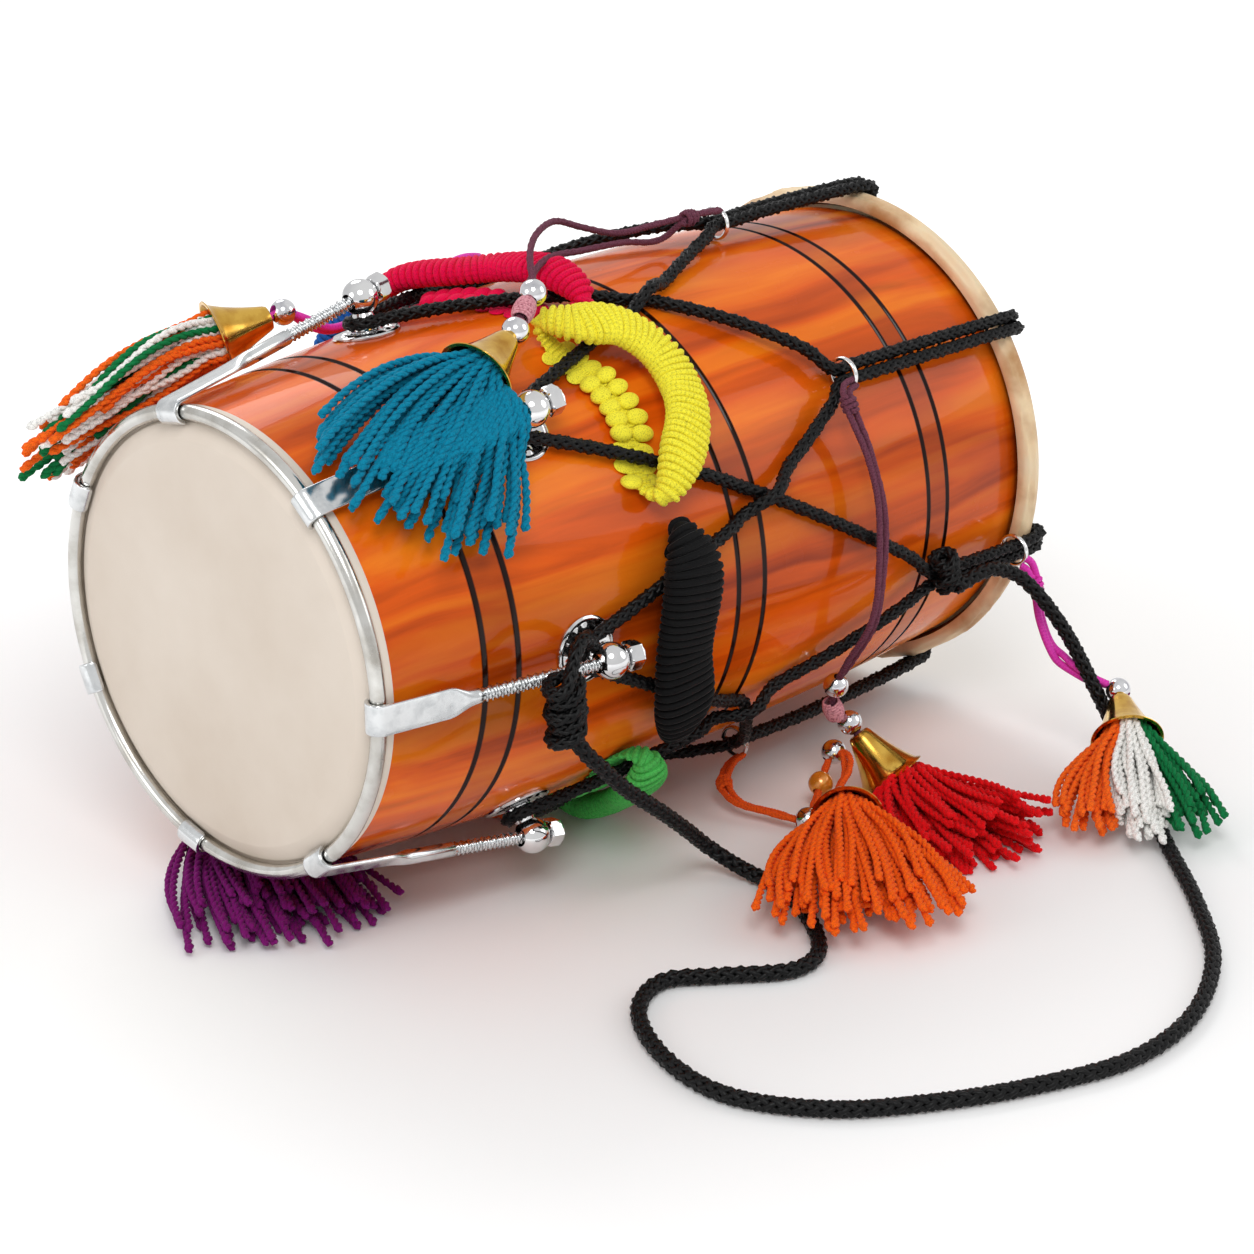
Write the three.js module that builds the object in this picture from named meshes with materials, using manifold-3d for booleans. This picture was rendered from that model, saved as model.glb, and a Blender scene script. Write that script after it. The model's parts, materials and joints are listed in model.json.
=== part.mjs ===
// A dhol, the two-headed barrel drum, lying on its side with its tassels and its rope strap.
// Millimetres and degrees. +X runs along the drum from the front head to the rear head and +Z is up.
// Around the drum a place is given by x, an angle from the top towards -Y, and a radius.

import * as THREE from "three";
import { mergeVertices } from "three/addons/utils/BufferGeometryUtils.js";
import Module from "manifold-3d";

const wasm = await Module();
wasm.setup();

// Clearances
const fitGap = 0.3; // between pieces that touch
const ropeGap = 0.4; // under and between ropes
const overrun = 4; // how far a cutting body passes its face

// Barrel
const roundSides = 35; // a whole number of steps from lug to lug
const barrelLength = 591;
const frontRadius = 149.6;
const rearRadius = 166.6;
const barrelBulge = 13.9;
const barrelWall = 18;
const frontCut = 11; // the barrel's outside starts here
const rearLip = 12.5; // from the end of the barrel's curve to its rear bearing edge
const grooveWidth = 3;
const grooveDepth = 1.6;
const grooveShares = [0.134, 0.178, 0.496, 0.5375, 0.826, 0.862];
const insideShares = [0.6, 0.285, 0.25];

// Front head and its hoop
const hoopStep = 0.4; // from the barrel's front radius to the middle of the hoop's pipe
const hoopPipe = 5;
const bearingWall = 18.6; // the barrel's wall at its front edge
const crestWidth = 3;
const crestDepth = -2;
const shoulderWidth = 8;
const shoulderDepth = 3;
const skinThickness = 1.2;
const collarStep = 2.4; // how far the collar stands out past the barrel's front
const collarDepth = 10.6;
const collarWall = 7.4;

// Rear head and its flesh hoop
const fleshStep = 6.6; // from the barrel's rear radius to the middle of the flesh hoop
const fleshSection = 5.5;
const goatskin = 1.5;
const lapSweep = 230;
const rearChamfer = 3.6;

// Lugs
const lugCount = 7;
const firstLug = -12;
const ballX = 158;
const ballRise = 23.2; // from the barrel to the ball's centre
const ballRadius = 12;
const shankRadius = 5;
const plateRadius = 23;
const plateSheet = 1.4;
const plateBead = 2;
const rodRadius = 5;
const neckRadius = 4.4;
const strapWidth = 20;
const strapThickness = 3;
const strapEnd = 45; // along the rod, from the hoop
const neckEnd = 62;
const threadStart = 98;
const clawSweep = 160;
const nutFlats = 17;
const nutHeight = 10;
const rodProud = 3;
const innerNutHeight = 8;

// Lacing rope
const ropeRadius = 4.5;
const bightRadius = 10.3;
const lacingRise = 8; // rope centre above the barrel between plate and sleeve
const lacingLow = 4.9; // rope centre above the barrel past the sleeve
const crossingShare = 0.5465; // of the barrel's length
const crossShare = 0.61; // of the way from lug to lug
const humpReach = 26;
const sleeveClear = 36.4; // from the crossing back to the sleeve's end
const ringRise = 12.5;
const gatherShares = [0.761, 0.714, 0.832, 0.643, 0.677, 0.728, 0.635];
const gatherTurnShares = [0.25, 0.25, 0.25, 0.16, 0.25, 0.25, 0.25];
const rimTurnShare = 0.27;
const underSleeveShares = [0.12, 0.5, 1];
const humpShares = [-1, -0.45, -0.15, 0.15, 0.45, 1];

// Tuning sleeves
const sleeveWidth = 31;
const sleeveHeight = 18;
const chainWidth = 17;
const chainSheet = 2.6;
const turnShare = 0.7; // thickness where the bow turns down, against the bow's

// Tassels
const ringInner = 9.5;
const ringWire = 1.3;
const tasselCord = 3.6;
const knotRadius = 7;
const beadRadius = 9.3;
const bellTop = 8;
const bellMouth = 26;
const bellLength = 39;
const bellSheet = 1.2;
const bellLip = 2.5;
const tuftThickness = 13;
const thinTuft = 9.4; // where the drum lies over it
const tuftLift = 7; // above the rods
const tuftBendShare = 0.8;

// Strap rope
const strapRadius = 5;
const strapKnot = 12;

const rearCut = barrelLength + rearLip;
const hoopRadius = frontRadius + hoopStep;
const boreRadius = frontRadius - bearingWall;
const crestRadius = boreRadius + crestWidth;
const shoulderRadius = crestRadius + shoulderWidth;
const collarRadius = frontRadius + collarStep;
const fleshRadius = rearRadius + fleshStep;
const crossX = crossingShare * barrelLength;

const radians = THREE.MathUtils.degToRad;
const lugPitch = 360 / lugCount;
const point = (x, y, z) => new THREE.Vector3(x, y, z);

// Radius of the barrel's outside at x.
function barrelRadius(x) {
  const u = x / barrelLength;
  return frontRadius * (1 - u) + rearRadius * u + 4 * barrelBulge * u * (1 - u);
}

// The place at x, at an angle round the drum and at a radius.
function around(x, angle, radius) {
  const a = radians(angle);
  return point(x, -radius * Math.sin(a), radius * Math.cos(a));
}

// The place at x and an angle, lifted off the barrel.
const onBarrel = (x, angle, lift) => around(x, angle, barrelRadius(x) + lift);

// The angle of a place counted in lugs, where 0 is the first lug.
const lugAngle = (turns) => firstLug + turns * lugPitch;

// Solids

// Turns a closed geometry into a solid that faces outwards.
function solid(geometry) {
  const bare = new THREE.BufferGeometry();
  bare.setAttribute("position", geometry.getAttribute("position"));
  if (geometry.index) bare.setIndex(geometry.index);
  const merged = mergeVertices(bare, 1e-3);
  const index = merged.index.array;
  const kept = [];
  for (let i = 0; i < index.length; i += 3) {
    const [a, b, c] = index.slice(i, i + 3);
    if (a !== b && b !== c && c !== a) kept.push(a, b, c);
  }
  const make = (triangles) =>
    new wasm.Manifold(
      new wasm.Mesh({
        numProp: 3,
        vertProperties: merged.attributes.position.array,
        triVerts: new Uint32Array(triangles),
      }),
    );
  const made = make(kept);
  return made.volume() < 0 ? make(kept.reverse()) : made;
}

// Turns a solid back into a geometry.
function geometryOf(made) {
  const mesh = made.getMesh();
  const places = new Float32Array(mesh.numVert * 3);
  for (let i = 0; i < mesh.numVert; i++) {
    const start = i * mesh.numProp;
    places.set(mesh.vertProperties.subarray(start, start + 3), i * 3);
  }
  const geometry = new THREE.BufferGeometry();
  geometry.setAttribute("position", new THREE.BufferAttribute(places, 3));
  geometry.setIndex(new THREE.BufferAttribute(new Uint32Array(mesh.triVerts), 1));
  geometry.computeVertexNormals();
  return geometry;
}

// Revolves a closed profile of [x, radius] pairs round the drum's axis.
function turned(profile, sides = roundSides) {
  const outline = profile.map(([x, radius]) => new THREE.Vector2(radius, x));
  if (outline[0].x !== 0) outline.push(outline[0].clone());
  const lathe = new THREE.LatheGeometry(outline, sides, radians(firstLug));
  return solid(lathe.rotateZ(-Math.PI / 2));
}

// Skins rings of equally many points into a closed solid. A looped run joins its last ring to its first.
function skinned(rings, looped = false) {
  const places = rings.flat().flatMap((p) => [p.x, p.y, p.z]);
  const sides = rings[0].length;
  const index = [];
  const spans = looped ? rings.length : rings.length - 1;
  for (let i = 0; i < spans; i++) {
    const next = (i + 1) % rings.length;
    for (let j = 0; j < sides; j++) {
      const k = (j + 1) % sides;
      const a = i * sides + j;
      const b = i * sides + k;
      const c = next * sides + k;
      const d = next * sides + j;
      index.push(a, b, c, a, c, d);
    }
  }
  if (!looped) {
    const last = (rings.length - 1) * sides;
    for (let j = 1; j < sides - 1; j++) {
      index.push(0, j + 1, j);
      index.push(last, last + j, last + j + 1);
    }
  }
  const geometry = new THREE.BufferGeometry();
  geometry.setAttribute("position", new THREE.Float32BufferAttribute(places, 3));
  geometry.setIndex(index);
  return solid(geometry);
}

// A round rope along a loop of points, its section carried on from point to point without twist.
function ropeLoop(points, radius, sides) {
  const count = points.length;
  const tangents = points.map((p, i) =>
    points[(i + 1) % count].clone().sub(points[(i + count - 1) % count]).normalize(),
  );
  const sideways = [point(1, 0, 0).cross(tangents[0]).normalize()];
  for (let i = 1; i <= count; i++) {
    const turn = new THREE.Quaternion().setFromUnitVectors(tangents[i - 1], tangents[i % count]);
    sideways.push(sideways[i - 1].clone().applyQuaternion(turn));
  }
  const first = sideways[0];
  const last = sideways[count];
  const twist = Math.atan2(last.clone().cross(first).dot(tangents[0]), last.dot(first));
  const rings = points.map((p, i) => {
    const across = sideways[i].clone().applyAxisAngle(tangents[i], (twist * i) / count);
    const up = tangents[i].clone().cross(across);
    return Array.from({ length: sides }, (_, j) => {
      const a = (2 * Math.PI * j) / sides;
      const out = across.clone().multiplyScalar(Math.cos(a)).addScaledVector(up, Math.sin(a));
      return p.clone().addScaledVector(out, radius);
    });
  });
  return skinned(rings, true);
}

// A round cord along a smooth curve through points, with a step every few diameters.
function cordAlong(points, radius, sides, diametersPerStep) {
  const section = new THREE.Shape();
  for (let j = 0; j < sides; j++) {
    const a = (2 * Math.PI * j) / sides;
    if (j) section.lineTo(radius * Math.cos(a), radius * Math.sin(a));
    else section.moveTo(radius, 0);
  }
  const path = new THREE.CatmullRomCurve3(points, false, "centripetal");
  const steps = Math.round(path.getLength() / (2 * radius * diametersPerStep));
  return solid(new THREE.ExtrudeGeometry(section, { steps, extrudePath: path, bevelEnabled: false }));
}

// A cylinder with flat ends between two places.
function pin(start, end, radius, sides) {
  const length = start.distanceTo(end);
  const rod = new THREE.CylinderGeometry(radius, radius, length, sides);
  const turn = new THREE.Quaternion().setFromUnitVectors(point(0, 1, 0), end.clone().sub(start).normalize());
  rod.applyQuaternion(turn).translate(...start.clone().lerp(end, 0.5).toArray());
  return solid(rod);
}

// A ball at a place.
function ball(centre, radius, sides) {
  return solid(new THREE.SphereGeometry(radius, sides, sides - 2).translate(...centre.toArray()));
}

// Barrel shell, open at both ends

const shellFront = crestDepth;
const lugHole = shankRadius + ropeGap;

function shellProfile() {
  const bearing = [
    [shellFront, boreRadius],
    [shellFront, crestRadius],
    [shoulderDepth, shoulderRadius],
    [frontCut, shoulderRadius],
    [frontCut, barrelRadius(frontCut)],
  ];
  const outside = grooveShares.flatMap((share) => {
    const x = share * barrelLength;
    return [
      [x - grooveWidth / 2, barrelRadius(x)],
      [x, barrelRadius(x) - grooveDepth],
      [x + grooveWidth / 2, barrelRadius(x)],
    ];
  });
  const rearBore = rearRadius - barrelWall;
  const rear = [
    [barrelLength, rearRadius],
    [rearCut, rearRadius - rearChamfer],
    [rearCut, rearBore],
  ];
  const inside = insideShares.map((share) => {
    const x = share * barrelLength;
    return [x, barrelRadius(x) - barrelWall];
  });
  return [...bearing, ...outside, ...rear, ...inside];
}

// The lugs' own frame: x along the drum, y along the barrel's side, z outwards.
const lugFrame = (k) => new THREE.Matrix4().makeRotationX(radians(lugAngle(k)));
const ballPlace = point(ballX, 0, barrelRadius(ballX) + ballRise);

function makeShell() {
  let shell = turned(shellProfile());
  for (let k = 0; k < lugCount; k++) {
    const inner = barrelRadius(ballX) - barrelWall - overrun;
    const outer = barrelRadius(ballX) + overrun;
    const hole = pin(point(ballX, 0, inner), point(ballX, 0, outer), lugHole, 6);
    shell = shell.subtract(hole.transform(lugFrame(k).elements));
  }
  return shell;
}

// Front head: the flat skin, its shoulder over the bearing edge, and the collar that the hoop presses
function makeFrontHead() {
  const face = crestDepth - fitGap;
  const collarFront = hoopPipe + fitGap;
  const collarInner = collarRadius - collarWall;
  return turned([
    [face - skinThickness, 0],
    [face - skinThickness, crestRadius - skinThickness],
    [shoulderDepth - skinThickness, collarInner - skinThickness],
    [collarFront, collarInner],
    [collarFront, collarRadius],
    [collarDepth, collarRadius],
    [collarDepth, shoulderRadius + fitGap],
    [shoulderDepth - fitGap, shoulderRadius + fitGap],
    [face, crestRadius + fitGap],
    [face, 0],
  ]);
}

// Front hoop: a round pipe ring
function makeFrontHoop() {
  const sides = 8;
  const profile = Array.from({ length: sides }, (_, j) => {
    const a = (2 * Math.PI * (j + 0.5)) / sides;
    return [hoopPipe * Math.cos(a), hoopRadius + hoopPipe * Math.sin(a)];
  });
  return turned(profile);
}

// Rear head: the skin over the bearing edge, lapped round the flesh hoop
const lapSteps = 4;
const lapInner = (fleshSection + fitGap) / Math.cos(radians(lapSweep / lapSteps / 2));
const lapOuter = lapInner + goatskin;
const fleshX = rearCut + fitGap - lapInner;

function lapArc(radius, from, to, steps) {
  return Array.from({ length: steps + 1 }, (_, i) => {
    const a = radians(from + ((to - from) * i) / steps);
    return [fleshX + radius * Math.cos(a), fleshRadius + radius * Math.sin(a)];
  });
}

function makeRearHead() {
  return turned([
    [fleshX + lapInner, 0],
    ...lapArc(lapInner, 0, lapSweep, lapSteps),
    ...lapArc(lapOuter, lapSweep, 0, lapSteps),
    [fleshX + lapOuter, 0],
  ]);
}

function makeRearHoop() {
  const sides = 6;
  const profile = Array.from({ length: sides }, (_, j) => {
    const a = (2 * Math.PI * (j + 0.5)) / sides;
    return [fleshX + fleshSection * Math.cos(a), fleshRadius + fleshSection * Math.sin(a)];
  });
  return turned(profile);
}

// Lug hardware, each piece made once in the lug's frame

// The rod's middle line is tangent to the middle of the claw, which wraps the hoop.
const hoopBow = strapWidth ** 2 / (8 * hoopRadius); // how far the hoop curves away under the strap's width
const clawMiddle = hoopPipe + fitGap + hoopBow + strapThickness / 2;
const hoopCentre = point(0, 0, hoopRadius);
const toBall = ballPlace.clone().sub(hoopCentre);
const rodLean = Math.atan2(toBall.z, toBall.x) - Math.asin(clawMiddle / toBall.length());
const rodAxis = point(Math.cos(rodLean), 0, Math.sin(rodLean));
const rodNormal = point(-Math.sin(rodLean), 0, Math.cos(rodLean));
const ballAlong = toBall.dot(rodAxis);
const boreSides = 6;
const boreWall = (rodRadius + fitGap) / Math.cos(Math.PI / boreSides);
const nutSeat = Math.sqrt(ballRadius ** 2 - boreWall ** 2) + fitGap;
const rodEnd = ballAlong + nutSeat + nutHeight + rodProud;
const alongRod = (s) => hoopCentre.clone().addScaledVector(rodNormal, clawMiddle).addScaledVector(rodAxis, s);

// A section of the hook rod, from round to a flat strap with small corners.
const cornerShare = 1.5;
function rodSection(centre, normal, halfWidth, halfThickness, flat) {
  const sides = 8;
  return Array.from({ length: sides }, (_, j) => {
    const a = (2 * Math.PI * (j + 0.5)) / sides;
    const square = (v) => (flat ? THREE.MathUtils.clamp(cornerShare * v, -1, 1) : v);
    const across = halfWidth * square(Math.cos(a));
    const out = halfThickness * square(Math.sin(a));
    return centre.clone().addScaledVector(point(0, 1, 0), across).addScaledVector(normal, out);
  });
}

function makeHookRod() {
  const round = (s, radius) => rodSection(alongRod(s), rodNormal, radius, radius, false);
  const flat = (centre, normal) => rodSection(centre, normal, strapWidth / 2, strapThickness / 2, true);
  const rings = [
    round(rodEnd, rodRadius),
    round(threadStart, rodRadius),
    round(threadStart - (rodRadius - neckRadius), neckRadius),
    round(neckEnd, neckRadius),
    flat(alongRod(strapEnd), rodNormal),
  ];
  const steps = 5;
  for (let i = 0; i <= steps; i++) {
    const a = Math.PI / 2 + rodLean + radians((clawSweep * i) / steps);
    const normal = point(Math.cos(a), 0, Math.sin(a));
    rings.push(flat(hoopCentre.clone().addScaledVector(normal, clawMiddle), normal));
  }
  return skinned(rings);
}

function makeTensionNut() {
  const hex = new THREE.Shape();
  const corner = nutFlats / 2 / Math.cos(Math.PI / 6);
  for (let j = 0; j < 6; j++) {
    const a = (Math.PI * j) / 3;
    if (j) hex.lineTo(corner * Math.cos(a), corner * Math.sin(a));
    else hex.moveTo(corner, 0);
  }
  const bore = new THREE.Path();
  for (let j = 0; j < boreSides; j++) {
    const a = (-2 * Math.PI * j) / boreSides;
    if (j) bore.lineTo(boreWall * Math.cos(a), boreWall * Math.sin(a));
    else bore.moveTo(boreWall, 0);
  }
  hex.holes.push(bore);
  const nut = new THREE.ExtrudeGeometry(hex, { depth: nutHeight, bevelEnabled: false });
  const turn = new THREE.Quaternion().setFromUnitVectors(point(0, 0, 1), rodAxis);
  nut.applyQuaternion(turn).translate(...alongRod(ballAlong + nutSeat).toArray());
  return solid(nut);
}

function makeBallBolt() {
  const corner = nutFlats / 2;
  const wallInside = (barrelRadius(ballX - corner) - barrelWall) * Math.cos(Math.PI / roundSides);
  const shellInside = Math.sqrt(wallInside ** 2 - corner ** 2) - fitGap;
  const nutCentre = (z) => point(ballX, 0, z);
  const foot = shellInside - innerNutHeight - rodProud;
  const innerNut = pin(nutCentre(shellInside - innerNutHeight), nutCentre(shellInside), nutFlats / 2, 6);
  const shank = pin(point(ballX, 0, foot), ballPlace, shankRadius, 6);
  const [into, outOf] = [-1, 1].map((way) => alongRod(ballAlong + way * 2 * ballRadius));
  const bore = pin(into, outOf, boreWall, boreSides);
  return ball(ballPlace, ballRadius, 8).subtract(bore).add(shank.subtract(bore)).add(innerNut);
}

// Backplate: a sheet washer pressed to the barrel's round, with a rolled bead near its edge.
function makeBackplate() {
  const profile = [
    [lugHole, 0],
    [plateRadius, 0],
    [plateRadius - plateBead / 2, plateBead],
    [plateRadius - 2 * plateBead, plateSheet],
    [lugHole, plateSheet],
  ].map(([radius, rise]) => new THREE.Vector2(radius, rise));
  profile.push(profile[0].clone());
  const disc = new THREE.LatheGeometry(profile, 12).rotateX(Math.PI / 2);
  const places = disc.getAttribute("position");
  for (let i = 0; i < places.count; i++) {
    const x = ballX + places.getX(i);
    const turn = (places.getY(i) / barrelRadius(ballX)) * (180 / Math.PI);
    places.setXYZ(i, ...onBarrel(x, turn, fitGap + places.getZ(i)).toArray());
  }
  return solid(disc);
}

// Lacing: from a lug over the sleeve, across its neighbour, to a gather with another strand, over the rear
// rim, and back the same way to the next lug but one.

const gatherX = gatherShares.map((share) => share * barrelLength);
const strandGap = ropeRadius + ropeGap / 2;
const rimTop = fleshRadius + lapOuter + ropeGap + ropeRadius;
const rimRise = rimTop - barrelRadius(fleshX);
const rearFace = fleshX + lapOuter;
const gatherAngle = (j) => lugAngle(j + gatherTurnShares[j % lugCount]);
const rimAngle = (j) => lugAngle(j + rimTurnShare);
const sideStep = (radius) => (strandGap / radius) * (180 / Math.PI);

// One strand from lug k to the rim of pair j. side is 1 where the angle grows towards the rim, over is true
// for the strand that passes over at the crossing.
function strand(k, side, over) {
  const j = side > 0 ? k + 1 : k - 1;
  const pair = (j + lugCount) % lugCount;
  const leave = (bightRadius / barrelRadius(ballX)) * (180 / Math.PI);
  const start = lugAngle(k) + side * leave;
  const cross = lugAngle(k + (side > 0 ? crossShare : crossShare - 1));
  const gx = gatherX[pair];
  const ring = gatherAngle(pair) + lugPitch * (j - pair) - side * sideStep(barrelRadius(gx) + ringRise);
  const rim = rimAngle(pair) + lugPitch * (j - pair) - side * sideStep(rimTop);
  const sleeveEnd = crossX - sleeveClear;
  const places = [];
  const near = (x) => start + ((cross - start) * (x - ballX)) / (crossX - ballX);
  for (const share of underSleeveShares) {
    const x = ballX + (sleeveEnd - ballX) * share;
    places.push(onBarrel(x, near(x), lacingRise));
  }
  const far = (x) => cross + ((ring - cross) * (x - crossX)) / (gx - crossX);
  const climb = (x) => lacingLow + ((ringRise - lacingLow) * Math.max(0, x - crossX)) / (gx - crossX);
  const hump = 2 * (ropeRadius + ropeGap);
  for (const share of over ? humpShares : [0]) {
    const x = crossX + share * humpReach;
    const angle = x < crossX ? near(x) : far(x);
    const rise = over ? (hump * (1 + Math.cos(Math.PI * share))) / 2 : 0;
    places.push(onBarrel(x, angle, climb(x) + rise));
  }
  const afterHump = crossX + humpReach;
  const midway = (afterHump + gx) / 2;
  places.push(onBarrel(midway, far(midway), climb(midway) + ropeGap));
  const straight = 2 * ringWire + ropeRadius;
  places.push(onBarrel(gx - straight, ring, ringRise), onBarrel(gx + straight, ring, ringRise));
  const rise = (x) => ringRise + ((rimRise - ringRise) * (x - gx)) / (fleshX - gx);
  const lane = (x) => ring + ((rim - ring) * (x - gx)) / (fleshX - gx);
  const rimStart = fleshX - 2 * fleshSection - ropeRadius;
  places.push(onBarrel(rimStart, lane(rimStart), rise(rimStart) + ropeGap));
  places.push(around(fleshX, rim, rimTop));
  return places;
}

// The bight of rope on the rear side of the rim, from one strand of pair j to the other.
function rimBight(j, side) {
  const back = rearFace + ropeGap + ropeRadius;
  const angle = rimAngle(j);
  const wide = sideStep(rimTop);
  const hookedRadius = fleshRadius;
  return [
    around(back - ropeRadius / 3, angle - side * wide, rimTop - ropeRadius / 2),
    around(back, angle - side * wide, hookedRadius + ropeRadius),
    around(back, angle, hookedRadius),
    around(back, angle + side * wide, hookedRadius + ropeRadius),
    around(back - ropeRadius / 3, angle + side * wide, rimTop - ropeRadius / 2),
  ];
}

// The bight of rope round the shank of lug k, on the side away from the rear.
function lugBight(k) {
  return [-90, -45, 0, 45, 90].map((a) => {
    const x = ballX - bightRadius * Math.cos(radians(a));
    const across = bightRadius * Math.sin(radians(a));
    return onBarrel(x, lugAngle(k) + (across / barrelRadius(ballX)) * (180 / Math.PI), lacingRise);
  });
}

function makeLacingRope() {
  const points = [];
  for (let i = 0, k = 0; i < lugCount; i++) {
    points.push(...lugBight(k));
    points.push(...strand(k, 1, false));
    points.push(...rimBight(k + 1, 1));
    k += 2;
    points.push(...strand(k, -1, true).reverse());
  }
  return ropeLoop(points, ropeRadius, 5);
}

// Tuning sleeves: each one is a closed loop, a thick bow over both strands and a flat chain under them.

// Places of the bow and the chain: along the barrel from the lug and round it in lug pitches, and how the
// loop lies there.
const overRope = "over";
const onWood = "wood";
const turnDown = "turn";
const underRope = "under";
const straightBowShares = [
  [0.127, -0.39, turnDown],
  [0.125, -0.25, overRope],
  [0.117, 0, onWood],
  [0.115, 0.13, onWood],
  [0.12, 0.33, overRope],
  [0.13, 0.49, turnDown],
  [0.15, 0.42, underRope],
  [0.155, 0.07, underRope],
  [0.148, -0.31, underRope],
];
const hookedBowShares = [
  [0.112, -0.4, turnDown],
  [0.135, -0.29, overRope],
  [0.175, -0.23, overRope],
  [0.205, -0.1, onWood],
  [0.205, 0.07, onWood],
  [0.185, 0.22, overRope],
  [0.15, 0.36, overRope],
  [0.118, 0.47, turnDown],
  [0.115, 0.36, underRope],
  [0.135, 0.07, underRope],
  [0.12, -0.29, underRope],
];
const slantBowShares = [
  [0.112, -0.36, turnDown],
  [0.122, -0.26, overRope],
  [0.15, -0.03, onWood],
  [0.178, 0.14, onWood],
  [0.187, 0.39, overRope],
  [0.184, 0.565, turnDown],
  [0.155, 0.46, underRope],
  [0.125, 0.1, underRope],
  [0.103, -0.27, underRope],
];
const sleeveShares = [
  slantBowShares,
  hookedBowShares,
  straightBowShares,
  slantBowShares,
  straightBowShares,
  hookedBowShares,
  straightBowShares,
];

// The height of the loop's middle, its half width and its half thickness, for each way of lying.
function sleeveSection(way) {
  const underside = lacingRise + ropeRadius + ropeGap;
  const half = sleeveHeight / 2;
  const chainHalf = chainSheet / 2;
  const chainMiddle = ropeGap + chainHalf;
  if (way === overRope) return [underside + half, sleeveWidth / 2, half];
  if (way === onWood) return [underside + half - ropeRadius, sleeveWidth / 2, half];
  if (way === turnDown) return [(underside + sleeveHeight) / 2, chainWidth / 2, half * turnShare];
  return [chainMiddle, chainWidth / 2, chainHalf];
}

// The way across each mark of the loop, the same for the bow and for the chain that runs back under it.
function sleeveHeadings(marks, places) {
  const count = marks.length;
  const runs = marks.map(([, , way], i) => {
    const run = places[(i + 1) % count].clone().sub(places[(i + count - 1) % count]).setZ(0).normalize();
    return way === underRope ? run.negate() : run;
  });
  return marks.map(([, , way], i) => {
    if (way !== turnDown) return runs[i];
    return runs[(i + 1) % count].clone().add(runs[(i + count - 1) % count]).normalize();
  });
}

function makeSleeve(k) {
  const marks = sleeveShares[k];
  const sections = marks.map(([, , way]) => sleeveSection(way));
  const arcs = barrelRadius(crossX) * radians(lugPitch);
  const places = marks.map(([x, turn], i) => point(ballX + x * barrelLength, turn * arcs, sections[i][0]));
  const smooth = (values) => new THREE.CatmullRomCurve3(values, true, "catmullrom", 0.5);
  const route = smooth(places);
  const size = smooth(sections.map(([, width, height]) => point(width, height, 0)));
  const heading = smooth(sleeveHeadings(marks, places));
  const count = 2 * marks.length;
  const sides = 6;
  const rings = Array.from({ length: count }, (_, i) => {
    const centre = route.getPoint(i / count);
    const { x: halfWidth, y: halfHeight } = size.getPoint(i / count);
    const tangent = route.getTangent(i / count);
    const run = heading.getPoint(i / count);
    const across = point(-run.y, run.x, 0);
    across.addScaledVector(tangent, -across.dot(tangent)).normalize();
    const up = across.clone().cross(tangent);
    return Array.from({ length: sides }, (_, j) => {
      const a = (2 * Math.PI * (j + 0.5)) / sides;
      const flat = centre.clone();
      flat.addScaledVector(across, halfWidth * Math.cos(a)).addScaledVector(up, halfHeight * Math.sin(a));
      return onBarrel(flat.x, lugAngle(k) + (flat.y / arcs) * lugPitch, Math.max(flat.z, ropeGap));
    });
  });
  return skinned(rings, true);
}

// A sleeve that the drum lies on is pressed flat there.
function pressedFlat(sleeve, floor) {
  const reach = 4 * barrelRadius(crossX);
  const slab = new THREE.BoxGeometry(reach, reach, reach).translate(crossX, 0, floor - reach / 2);
  return sleeve.subtract(solid(slab));
}

// Tassels: a split ring round a pair of strands, a doubled cord, beads, a bell and a tuft of yarn.
// The cords' routes, from the ring to the bell, are places in the drum's own frame.

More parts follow.
